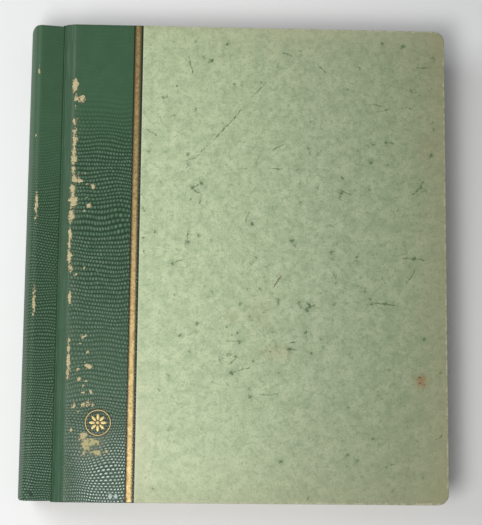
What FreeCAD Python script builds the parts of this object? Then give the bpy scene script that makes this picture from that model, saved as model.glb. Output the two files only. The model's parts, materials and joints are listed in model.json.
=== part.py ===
import FreeCAD, Part
import Sketcher
import math
import os

# A spring-back stamp album, closed: quarter-bound covers on a sprung, C-section spine gripping loose leaves.
# Millimetres, +Z up, +Y towards the head of the album, +X from the spine to the fore-edge.
# The origin is at the middle of the album's footprint, on the surface that the back cover lies on.
# Every piece is drawn in the album's section frame, with X from the back of the spine and Z from the middle
# plane between the covers, and is then placed. The back half is the front half turned over about X.

V = FreeCAD.Vector
UP = V(0, 0, 1)
HALF_TURN = 180.0
FULL_TURN = 360.0
TOUCH = 1e-6

# Driving dimensions: name, value and what it is
SIZES = [
    ("overall_width", 258.0, "back of the spine to the fore-edge"),
    ("cover_height", 292.0, "head to tail"),
    ("board_thickness", 2.4, "board inside each cover"),
    ("paper_thickness", 0.5, "lined marbled paper, and the pastedown"),
    ("cloth_thickness", 0.45, "grained leathercloth"),
    ("foil_thickness", 0.04, "gilt blocking"),
    ("corner_radius", 7.0, "rounded fore-edge corners of the covers"),
    ("edge_round", 0.8, "soft edge where the covering goes round the board"),
    ("turn_in", 14.0, "covering turned over the inside of the board"),
    ("joint_width", 7.0, "free cloth between the spine's lip and the board"),
    ("joint_sag", 1.0, "dip of the joint cloth below a straight line"),
    ("inner_cloth", 0.4, "thickness of the inner joint"),
    ("inner_lap", 6.0, "inner joint glued on the board"),
    ("inner_gap", 0.3, "inner joint to the turned-in cloth at head and tail"),
    ("lever_lap", 2.0, "inner joint glued on the lever"),
    ("quarter_width", 42.5, "leathercloth on the board"),
    ("rule_width", 3.4, "gilt rule"),
    ("rule_margin", 1.5, "gilt rule to the edge of the paper"),
    ("emblem_diameter", 15.5, "gilt ring on the front quarter"),
    ("emblem_line", 0.6, "width of the ring's line"),
    ("emblem_inset", 20.1, "edge of the board to the middle of the ring"),
    ("emblem_rise", 46.9, "tail to the middle of the ring"),
    ("petal_count", 8, "petals of the rosette in the ring"),
    ("petal_width", 1.7, "petal across its middle"),
    ("petal_margin", 1.5, "tips of the petals to the ring"),
    ("petal_gap", 0.8, "roots of the petals to the dot"),
    ("dot_diameter", 1.9, "gilt dot in the middle of the rosette"),
    ("spine_width", 21.0, "back of the spine to its lips"),
    ("spine_setback", 0.7, "spine shorter than the covers at each end"),
    ("back_bulge", 5.8, "curve of the spine's back"),
    ("shoulder_radius", 4.5, "rounding between the spine's back and a lip"),
    ("shoulder_drop", 0.2, "square shoulder below the cover's face"),
    ("mouth_drop", 3.2, "end of a lip below the cover's face"),
    ("card_thickness", 0.6, "card between the spring and the leathercloth"),
    ("spring_thickness", 0.6, "steel spring"),
    ("lever_thickness", 1.0, "clamp lever"),
    ("lever_setback", 2.0, "inner edge of a lever behind the guards' edge"),
    ("lever_reach", 2.5, "lever past the spine's lips"),
    ("lever_round", 0.3, "rounded edges of a lever"),
    ("guard_reach", 4.0, "leaf guards past the levers"),
    ("guard_clearance", 0.8, "leaf guards to the inside of the spring"),
    ("guard_gap", 0.04, "air between two guards"),
    ("leaf_count", 24, "album leaves"),
    ("leaf_thickness", 0.6, "album leaf"),
    ("leaf_space", 0.6, "room for stamps between two leaves"),
    ("leaf_clearance", 0.5, "outer leaves to the inside of the covers"),
    ("leaf_overhang", 8.0, "covers past the leaves at the fore-edge"),
    ("leaf_margin", 6.0, "covers past the leaves at head and tail"),
    ("leaf_corner", 4.0, "rounded corners of a leaf"),
    ("linen_width", 7.0, "linen between a guard and its leaf"),
    ("linen_thickness", 0.25, "linen"),
]

# Sizes and places that follow from the driving dimensions, in the section frame
DERIVED = [
    ("cover_thickness", "Sizes.board_thickness + 2 * Sizes.paper_thickness"),
    ("leaf_pitch", "Sizes.leaf_thickness + Sizes.leaf_space"),
    ("leaf_stack", "Sizes.leaf_count * leaf_pitch - Sizes.leaf_space"),
    ("inner_face", "leaf_stack / 2 + Sizes.leaf_clearance"),
    ("half_thickness", "inner_face + cover_thickness"),
    ("half_height", "Sizes.cover_height / 2"),
    ("board_bottom", "inner_face + Sizes.paper_thickness"),
    ("board_top", "half_thickness - Sizes.paper_thickness"),
    ("board_edge", "Sizes.spine_width + Sizes.joint_width"),
    ("board_right", "Sizes.overall_width - Sizes.paper_thickness"),
    ("board_half", "half_height - Sizes.paper_thickness"),
    ("board_corner", "Sizes.corner_radius - Sizes.paper_thickness"),
    ("quarter_edge", "board_edge + Sizes.quarter_width"),
    ("cloth_bottom", "board_bottom - Sizes.cloth_thickness"),
    ("cloth_top", "board_top + Sizes.cloth_thickness"),
    ("cloth_half", "board_half + Sizes.cloth_thickness"),
    ("window_half", "half_height - Sizes.turn_in"),
    ("window_right", "Sizes.overall_width - Sizes.turn_in"),
    ("inner_lap_end", "board_edge + Sizes.inner_lap"),
    ("rule_right", "quarter_edge - Sizes.rule_margin"),
    ("rule_left", "rule_right - Sizes.rule_width"),
    ("rule_half", "cloth_half - Sizes.edge_round"),
    ("ring_radius", "Sizes.emblem_diameter / 2"),
    ("petal_tip", "ring_radius - Sizes.emblem_line - Sizes.petal_margin"),
    ("petal_root", "Sizes.dot_diameter / 2 + Sizes.petal_gap"),
    ("petal_half", "(petal_tip - petal_root) / 2"),
    ("petal_radius", "petal_half^2 / Sizes.petal_width + Sizes.petal_width / 4"),
    ("spine_length", "Sizes.cover_height - 2 * Sizes.spine_setback"),
    ("lining_length", "spine_length - 2 * Sizes.cloth_thickness"),
    ("spring_inset", "Sizes.cloth_thickness + Sizes.card_thickness"),
    ("wall", "spring_inset + Sizes.spring_thickness"),
    ("shoulder_half", "half_thickness - Sizes.shoulder_drop"),
    ("back_radius", "(shoulder_half^2 / Sizes.back_bulge + Sizes.back_bulge) / 2"),
    ("mouth_half", "half_thickness - Sizes.mouth_drop"),
    ("lip_angle", "atan((shoulder_half - mouth_half) / (Sizes.spine_width - Sizes.back_bulge))"),
    ("mouth_inner", "mouth_half - wall / cos(lip_angle)"),
    ("guard_half", "mouth_inner - Sizes.lever_thickness"),
    ("guard_pitch", "2 * guard_half / Sizes.leaf_count"),
    ("spring_back", "back_radius - sqrt((back_radius - wall)^2 - guard_half^2)"),
    ("guard_left", "spring_back + Sizes.guard_clearance"),
    ("lever_left", "guard_left + Sizes.lever_setback"),
    ("lever_right", "Sizes.spine_width + Sizes.lever_reach"),
    ("guard_right", "lever_right + Sizes.guard_reach"),
    ("leaf_height", "Sizes.cover_height - 2 * Sizes.leaf_margin"),
    ("leaf_left", "guard_right + Sizes.linen_width"),
    ("leaf_right", "Sizes.overall_width - Sizes.leaf_overhang"),
    ("joint_chord", "sqrt(Sizes.joint_width^2 + (cloth_top - mouth_half)^2)"),
    ("joint_radius", "joint_chord^2 / (8 * Sizes.joint_sag) + Sizes.joint_sag / 2"),
]

doc = FreeCAD.newDocument("StampAlbum")


def fill_sheets():
    """Puts the driving dimensions on one sheet, and what follows from them on another."""
    sizes = doc.addObject("Spreadsheet::Sheet", "Sizes")
    for row, (alias, number, meaning) in enumerate(SIZES, 1):
        sizes.set(f"A{row}", alias)
        sizes.set(f"B{row}", str(number))
        sizes.setAlias(f"B{row}", alias)
        sizes.set(f"C{row}", meaning)
    derived = doc.addObject("Spreadsheet::Sheet", "Derived")
    for row, (alias, formula) in enumerate(DERIVED, 1):
        derived.set(f"A{row}", alias)
        derived.set(f"B{row}", "=" + formula)
        derived.setAlias(f"B{row}", alias)
    doc.recompute()


fill_sheets()


def value(expression):
    """The present value of an expression on the sheets: a length in mm or an angle in degrees."""
    found = doc.Derived.evalExpression(expression)
    return float(getattr(found, "Value", found))


def new_body(label, side="front"):
    """A body drawn in the section frame and placed in the album, turned over for the back half."""
    body = doc.addObject("PartDesign::Body", label)
    body.Label = label
    if side == "back":
        body.Placement = FreeCAD.Placement(V(), FreeCAD.Rotation(V(1, 0, 0), HALF_TURN))
    body.setExpression("Placement.Base.x", "-Sizes.overall_width / 2")
    body.setExpression("Placement.Base.z", "Derived.half_thickness")
    return body


def origin_feature(body, role):
    """One of the body's own planes or axes."""
    return next(feature for feature in body.Origin.OriginFeatures if feature.Role == role)


def new_sketch(body, role, level=None):
    """A sketch on one of the body's origin planes, or at a level above it."""
    sketch = body.newObject("Sketcher::SketchObject", body.Name + "_sketch")
    sketch.AttachmentSupport = [(origin_feature(body, role), "")]
    sketch.MapMode = "FlatFace"
    if level:
        sketch.setExpression("AttachmentOffset.Base.z", level)
    return sketch


def bind(sketch, kind, *where, to):
    """Adds a dimension to a sketch, bound to an expression."""
    number = math.radians(value(to)) if kind == "Angle" else value(to)
    index = sketch.addConstraint(Sketcher.Constraint(kind, *where, number))
    name = f"size_{index}"
    sketch.renameConstraint(index, name)
    sketch.setExpression("Constraints." + name, to)


def bind_point(sketch, edge, end, x, y):
    """Holds one end of an edge at the place that two expressions give."""
    bind(sketch, "DistanceX", -1, 1, edge, end, to=x)
    bind(sketch, "DistanceY", -1, 1, edge, end, to=y)


def polygon(sketch, corners):
    """A closed outline of straight sides. Each corner is a pair of expressions."""
    points = [V(value(x), value(y), 0) for x, y in corners]
    first = sketch.GeometryCount
    count = len(points)
    for i in range(count):
        sketch.addGeometry(Part.LineSegment(points[i], points[(i + 1) % count]), False)
    for i in range(count):
        sketch.addConstraint(Sketcher.Constraint("Coincident", first + i, 2, first + (i + 1) % count, 1))
        bind_point(sketch, first + i, 1, *corners[i])


def rectangle(sketch, left, right, bottom, top):
    """A rectangle between four expressions."""
    polygon(sketch, [(left, bottom), (right, bottom), (right, top), (left, top)])


def even_rectangle(sketch, left, right, half):
    """A rectangle that is even about the X axis."""
    rectangle(sketch, left, right, f"-{half}", half)


def rounded_sheet(sketch, left, right, half, radius):
    """A sheet that is even about the X axis, with its two right-hand corners rounded."""
    x0, x1, h, r = (value(expression) for expression in (left, right, half, radius))
    quarter = math.pi / 2
    outline = [
        Part.LineSegment(V(x0, -h, 0), V(x1 - r, -h, 0)),
        Part.ArcOfCircle(Part.Circle(V(x1 - r, r - h, 0), UP, r), -quarter, 0),
        Part.LineSegment(V(x1, r - h, 0), V(x1, h - r, 0)),
        Part.ArcOfCircle(Part.Circle(V(x1 - r, h - r, 0), UP, r), 0, quarter),
        Part.LineSegment(V(x1 - r, h, 0), V(x0, h, 0)),
        Part.LineSegment(V(x0, h, 0), V(x0, -h, 0)),
    ]
    sketch.addGeometry(outline, False)
    tail, tail_arc, fore_edge, head_arc, head, spine_side = range(len(outline))
    for a, b in ((tail, tail_arc), (tail_arc, fore_edge), (fore_edge, head_arc), (head_arc, head)):
        sketch.addConstraint(Sketcher.Constraint("Tangent", a, 2, b, 1))
    for a, b in ((head, spine_side), (spine_side, tail)):
        sketch.addConstraint(Sketcher.Constraint("Coincident", a, 2, b, 1))
    for line in (tail, head):
        sketch.addConstraint(Sketcher.Constraint("Horizontal", line))
    for line in (fore_edge, spine_side):
        sketch.addConstraint(Sketcher.Constraint("Vertical", line))
    sketch.addConstraint(Sketcher.Constraint("Equal", tail_arc, head_arc))
    bind(sketch, "Radius", tail_arc, to=radius)
    bind_point(sketch, spine_side, 1, left, half)
    bind(sketch, "DistanceX", -1, 1, fore_edge, 1, to=right)
    bind(sketch, "DistanceY", -1, 1, tail, 1, to=f"-{half}")


def spine_section(sketch, inset):
    """The spine's section at a depth below its surface: curved back, round shoulders and two leaning lips.

    Every depth is an even offset of the outer section, closed by a straight line across the mouth.
    """
    axis = V(value("Derived.back_radius"), 0, 0)
    back = value(f"Derived.back_radius - {inset}")
    shoulder = value(f"Sizes.shoulder_radius - {inset}")
    mouth = value("Sizes.spine_width")
    lip_end = f"Derived.mouth_half - {inset} / cos(Derived.lip_angle)"
    lip_z = value(lip_end)
    lean = math.radians(value("Derived.lip_angle"))

    # The shoulder's centre lies one shoulder radius below the lip's line and inside the back's curve
    towards_back = V(-math.cos(lean), math.sin(lean), 0)
    out_of_lip = V(math.sin(lean), math.cos(lean), 0)
    below_mouth = V(mouth, lip_z, 0) - out_of_lip * shoulder
    offset = below_mouth - axis
    run = offset.dot(towards_back)
    rest = offset.dot(offset) - (back - shoulder) ** 2
    centre = below_mouth + towards_back * (math.sqrt(run * run - rest) - run)
    back_turn = math.atan2(centre.y, centre.x - axis.x)
    lip_turn = math.pi / 2 - lean
    lip_start = centre + out_of_lip * shoulder

    outline = [
        Part.ArcOfCircle(Part.Circle(axis, UP, back), back_turn, 2 * math.pi - back_turn),
        Part.ArcOfCircle(Part.Circle(centre, UP, shoulder), lip_turn, back_turn),
        Part.LineSegment(V(mouth, lip_z, 0), lip_start),
        Part.LineSegment(V(mouth, -lip_z, 0), V(mouth, lip_z, 0)),
        Part.LineSegment(V(lip_start.x, -lip_start.y, 0), V(mouth, -lip_z, 0)),
        Part.ArcOfCircle(Part.Circle(V(centre.x, -centre.y, 0), UP, shoulder), -back_turn, -lip_turn),
    ]
    sketch.addGeometry(outline, False)
    back_arc, top_arc, top_lip, mouth_line, low_lip, low_arc = range(len(outline))
    for a, b in ((top_arc, back_arc), (top_lip, top_arc), (back_arc, low_arc), (low_arc, low_lip)):
        sketch.addConstraint(Sketcher.Constraint("Tangent", a, 2, b, 1))
    for a, b in ((low_lip, mouth_line), (mouth_line, top_lip)):
        sketch.addConstraint(Sketcher.Constraint("Coincident", a, 2, b, 1))
    sketch.addConstraint(Sketcher.Constraint("PointOnObject", back_arc, 3, -1))
    sketch.addConstraint(Sketcher.Constraint("Equal", top_arc, low_arc))
    bind(sketch, "DistanceX", -1, 1, back_arc, 3, to="Derived.back_radius")
    bind(sketch, "Radius", back_arc, to=f"Derived.back_radius - {inset}")
    bind(sketch, "Radius", top_arc, to=f"Sizes.shoulder_radius - {inset}")
    bind_point(sketch, top_lip, 1, "Sizes.spine_width", lip_end)
    bind_point(sketch, mouth_line, 1, "Sizes.spine_width", f"-({lip_end})")
    bind(sketch, "Angle", top_lip, to="180 deg - Derived.lip_angle")
    bind(sketch, "Angle", low_lip, to="Derived.lip_angle")


def finish_prism(feature, sketch, length, symmetric):
    """Gives a pad or pocket its profile and its bound length, to both sides of the sketch or to one."""
    feature.Profile = sketch
    feature.SideType = "Symmetric" if symmetric else "One side"
    feature.setExpression("Length", length)
    doc.recompute()


def pad(body, sketch, length, symmetric=False):
    """Adds a sketch's profile as a solid, upwards from the sketch or to both sides of it."""
    feature = body.newObject("PartDesign::Pad", body.Name + "_pad")
    finish_prism(feature, sketch, length, symmetric)
    return feature


def pocket(body, sketch, length, symmetric=False):
    """Cuts a sketch's profile out, upwards from the sketch or to both sides of it."""
    before = body.Shape.Volume
    feature = body.newObject("PartDesign::Pocket", body.Name + "_pocket")
    feature.Reversed = not symmetric
    finish_prism(feature, sketch, length, symmetric)
    if body.Shape.Volume > before - TOUCH:
        raise RuntimeError(f"{feature.Name} cuts nothing")


def fillet(body, radius, wanted):
    """Rounds the edges of the body's last feature that a test picks out."""
    base = body.Tip
    edges = [f"Edge{i}" for i, edge in enumerate(base.Shape.Edges, 1) if wanted(edge)]
    feature = body.newObject("PartDesign::Fillet", body.Name + "_fillet")
    feature.Base = (base, edges)
    feature.setExpression("Radius", radius)
    doc.recompute()


def pattern(body, kind, original, **settings):
    """Repeats a feature, and makes the repeat the body's result."""
    feature = body.newObject("PartDesign::" + kind, body.Name + "_pattern")
    feature.Originals = [original]
    for name, setting in settings.items():
        if isinstance(setting, str):
            feature.setExpression(name, setting)
        else:
            setattr(feature, name, setting)
    body.Tip = feature
    doc.recompute()


def at(number, expression):
    """True where a number is at the place that an expression gives."""
    return abs(number - value(expression)) < TOUCH


# Spine: a sprung C-section tube with card and leathercloth round it


def spine_layer(label, outer, inner, length):
    """One layer of the spine's wall between two depths, open at the mouth."""
    body = new_body(label)
    outside = new_sketch(body, "XZ_Plane")
    spine_section(outside, outer)
    pad(body, outside, length, symmetric=True)
    inside = new_sketch(body, "XZ_Plane")
    spine_section(inside, inner)
    pocket(body, inside, length, symmetric=True)
    return body


def spine_cloth():
    """The leathercloth of the spine, turned in over both ends of the card and the spring."""
    body = new_body("spine_cloth")
    outside = new_sketch(body, "XZ_Plane")
    spine_section(outside, "0")
    pad(body, outside, "Derived.spine_length", symmetric=True)
    lining = new_sketch(body, "XZ_Plane")
    spine_section(lining, "Sizes.cloth_thickness")
    pocket(body, lining, "Derived.lining_length", symmetric=True)
    bore = new_sketch(body, "XZ_Plane")
    spine_section(bore, "Derived.wall")
    pocket(body, bore, "Derived.spine_length", symmetric=True)
    return body


def spine():
    return [
        spine_cloth(),
        spine_layer("spine_card", "Sizes.cloth_thickness", "Derived.spring_inset", "Derived.lining_length"),
        spine_layer("spine_spring", "Derived.spring_inset", "Derived.wall", "Derived.lining_length"),
    ]


# Clamp and leaves


def lever(side):
    """A flat lever under the spine's lip, which pinches the leaf guards."""
    body = new_body(f"{side}_lever", side)
    section = new_sketch(body, "XZ_Plane")
    left, right = "Derived.lever_left", "Derived.lever_right"
    rectangle(section, left, right, "Derived.guard_half", "Derived.mouth_inner")
    pad(body, section, "Derived.leaf_height", symmetric=True)
    fillet(body, "Sizes.lever_round", lambda edge: edge.Length > value("Sizes.cover_height") / 2)
    return body


def leaf_guards():
    """The stiff guards of all the leaves, stacked between the levers."""
    body = new_body("leaf_guards")
    section = new_sketch(body, "XZ_Plane")
    low = "Sizes.guard_gap / 2 - Derived.guard_half"
    high = "Derived.guard_pitch - Derived.guard_half - Sizes.guard_gap / 2"
    rectangle(section, "Derived.guard_left", "Derived.guard_right", low, high)
    guard = pad(body, section, "Derived.leaf_height", symmetric=True)
    pattern(
        body,
        "LinearPattern",
        guard,
        Direction=(origin_feature(body, "Z_Axis"), [""]),
        Length="Derived.guard_pitch * (Sizes.leaf_count - 1)",
        Occurrences="Sizes.leaf_count",
    )
    return body


def leaf_numbers(side):
    """The leaves of one half of the album, numbered from the front."""
    count = int(value("Sizes.leaf_count"))
    middle = count // 2
    return range(1, middle + 1) if side == "front" else range(middle + 1, count + 1)


def leaf_level(side, number, pitch):
    """A leaf's distance from the middle plane, towards its own cover, at a given pitch."""
    steps = f"((Sizes.leaf_count + 1) / 2 - {number})"
    return f"{steps} * {pitch}" if side == "front" else f"-{steps} * {pitch}"


def leaf_linens(side):
    """The linen strips of one half, each from its guard's edge out to its leaf's edge."""
    body = new_body(f"{side}_leaf_linens", side)
    section = new_sketch(body, "XZ_Plane")
    half = "Sizes.linen_thickness / 2"
    for number in leaf_numbers(side):
        guard = leaf_level(side, number, "Derived.guard_pitch")
        leaf = leaf_level(side, number, "Derived.leaf_pitch")
        strip = [
            ("Derived.guard_right", f"{guard} - {half}"),
            ("Derived.leaf_left", f"{leaf} - {half}"),
            ("Derived.leaf_left", f"{leaf} + {half}"),
            ("Derived.guard_right", f"{guard} + {half}"),
        ]
        polygon(section, strip)
    pad(body, section, "Derived.leaf_height", symmetric=True)
    return body


def album_leaf(side, number):
    """One leaf, with rounded corners at the fore-edge."""
    body = new_body(f"leaf_{number:02d}", side)
    low_face = leaf_level(side, number, "Derived.leaf_pitch") + " - Sizes.leaf_thickness / 2"
    sheet = new_sketch(body, "XY_Plane", low_face)
    left, right = "Derived.leaf_left", "Derived.leaf_right"
    rounded_sheet(sheet, left, right, "Derived.leaf_height / 2", "Sizes.leaf_corner")
    pad(body, sheet, "Sizes.leaf_thickness")
    return body


# Covers


def board(side):
    body = new_body(f"{side}_board", side)
    sheet = new_sketch(body, "XY_Plane", "Derived.board_bottom")
    left, right = "Derived.board_edge", "Derived.board_right"
    rounded_sheet(sheet, left, right, "Derived.board_half", "Derived.board_corner")
    pad(body, sheet, "Sizes.board_thickness")
    return body


def marbled_paper(side):
    """The paper side: over the board's outer face, round its three free edges and turned in."""
    body = new_body(f"{side}_paper", side)
    sheet = new_sketch(body, "XY_Plane", "Derived.inner_face")
    rounded_sheet(
        sheet, "Derived.quarter_edge", "Sizes.overall_width", "Derived.half_height", "Sizes.corner_radius"
    )
    pad(body, sheet, "Derived.cover_thickness")

    def on_a_face_away_from_the_quarter(edge):
        box = edge.BoundBox
        flat = box.ZLength < TOUCH
        return flat and not at(box.XMax, "Derived.quarter_edge")

    fillet(body, "Sizes.edge_round", on_a_face_away_from_the_quarter)
    room = new_sketch(body, "XY_Plane", "Derived.board_bottom")
    board_left, board_right = "Derived.board_edge", "Derived.board_right"
    rounded_sheet(room, board_left, board_right, "Derived.board_half", "Derived.board_corner")
    pocket(body, room, "Sizes.board_thickness")
    window = new_sketch(body, "XY_Plane", "Derived.inner_face")
    even_rectangle(window, "Derived.board_edge", "Derived.window_right", "Derived.window_half")
    pocket(body, window, "Sizes.paper_thickness")
    return body


def quarter_cloth(side):
    """The leathercloth on the board: over its outer face and turned in at head and tail."""
    body = new_body(f"{side}_quarter_cloth", side)
    sheet = new_sketch(body, "XY_Plane", "Derived.cloth_bottom")
    even_rectangle(sheet, "Derived.board_edge", "Derived.quarter_edge", "Derived.cloth_half")
    pad(body, sheet, "Sizes.board_thickness + 2 * Sizes.cloth_thickness")

    def along_head_or_tail(edge):
        box = edge.BoundBox
        return box.XLength > TOUCH and at(abs(box.YMax), "Derived.cloth_half")

    fillet(body, "Sizes.edge_round", along_head_or_tail)
    for level, half, depth in (
        ("Derived.board_bottom", "Derived.board_half", "Sizes.board_thickness"),
        ("Derived.cloth_bottom", "Derived.window_half", "Sizes.cloth_thickness"),
    ):
        room = new_sketch(body, "XY_Plane", level)
        even_rectangle(room, "Derived.board_edge", "Derived.quarter_edge", half)
        pocket(body, room, depth)
    return body


def pastedown(side):
    """The paper lining of the cover's inside, level with the turned-in paper."""
    body = new_body(f"{side}_pastedown", side)
    sheet = new_sketch(body, "XY_Plane", "Derived.inner_face")
    even_rectangle(sheet, "Derived.inner_lap_end", "Derived.window_right", "Derived.window_half")
    pad(body, sheet, "Sizes.paper_thickness")
    return body


def gilt_rule(side):
    body = new_body(f"{side}_gilt_rule", side)
    sheet = new_sketch(body, "XY_Plane", "Derived.cloth_top")
    even_rectangle(sheet, "Derived.rule_left", "Derived.rule_right", "Derived.rule_half")
    pad(body, sheet, "Sizes.foil_thickness")
    return body


def circle(sketch, radius):
    """A circle about the sketch's origin."""
    edge = sketch.addGeometry(Part.Circle(V(), UP, value(radius)), False)
    sketch.addConstraint(Sketcher.Constraint("Coincident", edge, 3, -1, 1))
    bind(sketch, "Radius", edge, to=radius)


def petal(sketch):
    """A pointed petal along +X, between two arcs of one radius."""
    root, tip = V(value("Derived.petal_root"), 0, 0), V(value("Derived.petal_tip"), 0, 0)
    bulge = V(0, value("Sizes.petal_width / 2"), 0)
    middle = (root + tip) * 0.5
    sketch.addGeometry(Part.Arc(root, middle - bulge, tip), False)
    sketch.addGeometry(Part.Arc(tip, middle + bulge, root), False)
    low, high = 0, 1
    sketch.addConstraint(Sketcher.Constraint("Coincident", low, 2, high, 1))
    sketch.addConstraint(Sketcher.Constraint("Coincident", high, 2, low, 1))
    sketch.addConstraint(Sketcher.Constraint("Equal", low, high))
    for end, place in ((1, "Derived.petal_root"), (2, "Derived.petal_tip")):
        sketch.addConstraint(Sketcher.Constraint("PointOnObject", low, end, -1))
        bind(sketch, "DistanceX", -1, 1, low, end, to=place)
    bind(sketch, "Radius", low, to="Derived.petal_radius")


def front_emblem():
    """A gilt ring with a plain bookbinder's rosette in it, about the body's own origin."""
    body = doc.addObject("PartDesign::Body", "front_emblem")
    middle = "Derived.board_edge + Sizes.emblem_inset - Sizes.overall_width / 2"
    body.setExpression("Placement.Base.x", middle)
    body.setExpression("Placement.Base.y", "Sizes.emblem_rise - Derived.half_height")
    body.setExpression("Placement.Base.z", "Derived.half_thickness + Derived.cloth_top")
    ring = new_sketch(body, "XY_Plane")
    ring_inside = "Derived.ring_radius - Sizes.emblem_line"
    for radius in ("Derived.ring_radius", ring_inside, "Sizes.dot_diameter / 2"):
        circle(ring, radius)
    pad(body, ring, "Sizes.foil_thickness")
    leaf = new_sketch(body, "XY_Plane")
    petal(leaf)
    pattern(
        body,
        "PolarPattern",
        pad(body, leaf, "Sizes.foil_thickness"),
        Axis=(origin_feature(body, "Z_Axis"), [""]),
        Angle=FULL_TURN,
        Occurrences="Sizes.petal_count",
    )
    return body


# Joints of cloth


def joint_cloth(side):
    """The leathercloth that dips between the spine's lip and the board, where the cover hinges."""
    body = new_body(f"{side}_joint_cloth", side)
    section = new_sketch(body, "XZ_Plane")
    lip = V(value("Sizes.spine_width"), value("Derived.mouth_half"), 0)
    edge = V(value("Derived.board_edge"), value("Derived.cloth_top"), 0)
    depth = V(0, value("Sizes.cloth_thickness"), 0)
    radius, sag = value("Derived.joint_radius"), value("Sizes.joint_sag")
    chord = (edge - lip).normalize()
    above = V(-chord.y, chord.x, 0)
    lowest = (lip + edge) * 0.5 - above * sag
    outline = [
        Part.Arc(lip, lowest, edge),
        Part.LineSegment(edge, edge - depth),
        Part.Arc(lip - depth, lowest - depth, edge - depth),
        Part.LineSegment(lip - depth, lip),
    ]
    section.addGeometry(outline, False)
    top, board_end, bottom, lip_end = range(len(outline))
    for a, a_end, b, b_end in (
        (top, 2, board_end, 1),
        (board_end, 2, bottom, 2),
        (bottom, 1, lip_end, 1),
        (lip_end, 2, top, 1),
    ):
        section.addConstraint(Sketcher.Constraint("Coincident", a, a_end, b, b_end))
    section.addConstraint(Sketcher.Constraint("Equal", top, bottom))
    bind(section, "Radius", top, to="Derived.joint_radius")
    bind_point(section, top, 1, "Sizes.spine_width", "Derived.mouth_half")
    bind_point(section, top, 2, "Derived.board_edge", "Derived.cloth_top")
    bind_point(section, bottom, 1, "Sizes.spine_width", "Derived.mouth_half - Sizes.cloth_thickness")
    bind_point(section, bottom, 2, "Derived.board_edge", "Derived.board_top")
    pad(body, section, "2 * Derived.cloth_half", symmetric=True)
    return body


def inner_joint(side):
    """The cloth strip inside the album, from the lever up to the board."""
    body = new_body(f"{side}_inner_joint", side)
    section = new_sketch(body, "XZ_Plane")
    lever_start = "Derived.lever_right - Sizes.lever_lap"
    strip_low = "Derived.board_bottom - Sizes.inner_cloth"
    strip_high = "Derived.mouth_inner + Sizes.inner_cloth"
    outline = [
        (lever_start, "Derived.mouth_inner"),
        ("Derived.lever_right", "Derived.mouth_inner"),
        ("Derived.board_edge", strip_low),
        ("Derived.inner_lap_end", strip_low),
        ("Derived.inner_lap_end", "Derived.board_bottom"),
        ("Derived.board_edge", "Derived.board_bottom"),
        ("Derived.lever_right", strip_high),
        (lever_start, strip_high),
    ]
    polygon(section, outline)
    pad(body, section, "2 * (Derived.window_half - Sizes.inner_gap)", symmetric=True)
    return body


def album():
    """Every piece of the album, from the spine outwards."""
    pieces = spine() + [leaf_guards(), front_emblem()]
    makers = (lever, leaf_linens, joint_cloth, inner_joint)
    makers += (board, quarter_cloth, marbled_paper, pastedown, gilt_rule)
    for side in ("front", "back"):
        pieces += [make(side) for make in makers]
        pieces += [album_leaf(side, number) for number in leaf_numbers(side)]
    return pieces


def check(pieces):
    """Stops if anything in the document failed, or a piece isn't a sound solid."""
    doc.recompute()
    for item in doc.Objects:
        if "Invalid" in item.State or "Error" in item.State:
            raise RuntimeError(f"{item.Name} failed: {item.State}")
    for piece in pieces:
        if piece.Shape.isNull() or not piece.Shape.isValid() or not piece.Shape.Solids:
            raise RuntimeError(f"{piece.Label} has no sound solid")


def export(pieces):
    os.makedirs("parts", exist_ok=True)
    for piece in pieces:
        piece.Shape.exportStep(f"parts/{piece.Label}.step")
        print(f"{piece.Label}: {len(piece.Shape.Solids)} solids, {piece.Shape.Volume:.2f} cubic mm")


album_pieces = album()
check(album_pieces)
export(album_pieces)
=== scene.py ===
"""Looks of a closed stamp album: lizard-grained leathercloth, veined paper sides, worn gilt, hinged pages.

Lengths are in metres in the album's own frame: +X to the fore-edge, +Y to the head, +Z up through the front
cover.
"""

import json
import math

import bpy
import numpy as np
from mathutils import Euler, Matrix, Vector


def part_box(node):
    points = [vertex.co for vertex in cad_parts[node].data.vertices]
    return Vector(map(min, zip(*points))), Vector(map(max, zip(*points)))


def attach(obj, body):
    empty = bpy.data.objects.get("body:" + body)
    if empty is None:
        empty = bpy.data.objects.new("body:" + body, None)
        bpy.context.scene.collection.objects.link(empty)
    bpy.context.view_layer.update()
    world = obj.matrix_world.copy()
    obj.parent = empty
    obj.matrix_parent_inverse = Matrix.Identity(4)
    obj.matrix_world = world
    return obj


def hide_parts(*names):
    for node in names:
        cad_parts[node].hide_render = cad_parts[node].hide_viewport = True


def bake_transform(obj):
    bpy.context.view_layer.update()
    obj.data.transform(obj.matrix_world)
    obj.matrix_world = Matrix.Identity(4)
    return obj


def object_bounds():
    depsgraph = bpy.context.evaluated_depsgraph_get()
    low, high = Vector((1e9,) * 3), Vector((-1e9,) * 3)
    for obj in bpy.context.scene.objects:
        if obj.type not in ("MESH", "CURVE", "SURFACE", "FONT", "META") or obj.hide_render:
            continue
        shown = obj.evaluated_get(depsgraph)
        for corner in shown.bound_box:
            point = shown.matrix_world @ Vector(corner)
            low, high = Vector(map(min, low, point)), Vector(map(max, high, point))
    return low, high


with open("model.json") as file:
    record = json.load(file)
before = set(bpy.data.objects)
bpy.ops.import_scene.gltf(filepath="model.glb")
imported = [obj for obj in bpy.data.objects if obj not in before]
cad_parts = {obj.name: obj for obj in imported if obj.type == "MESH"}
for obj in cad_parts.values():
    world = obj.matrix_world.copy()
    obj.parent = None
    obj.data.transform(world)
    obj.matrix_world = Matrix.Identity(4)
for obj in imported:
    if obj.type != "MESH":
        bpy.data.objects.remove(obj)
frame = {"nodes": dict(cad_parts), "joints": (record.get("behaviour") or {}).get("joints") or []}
CAD_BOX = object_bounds()

MM = 0.001
SCENE = bpy.context.scene

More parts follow.
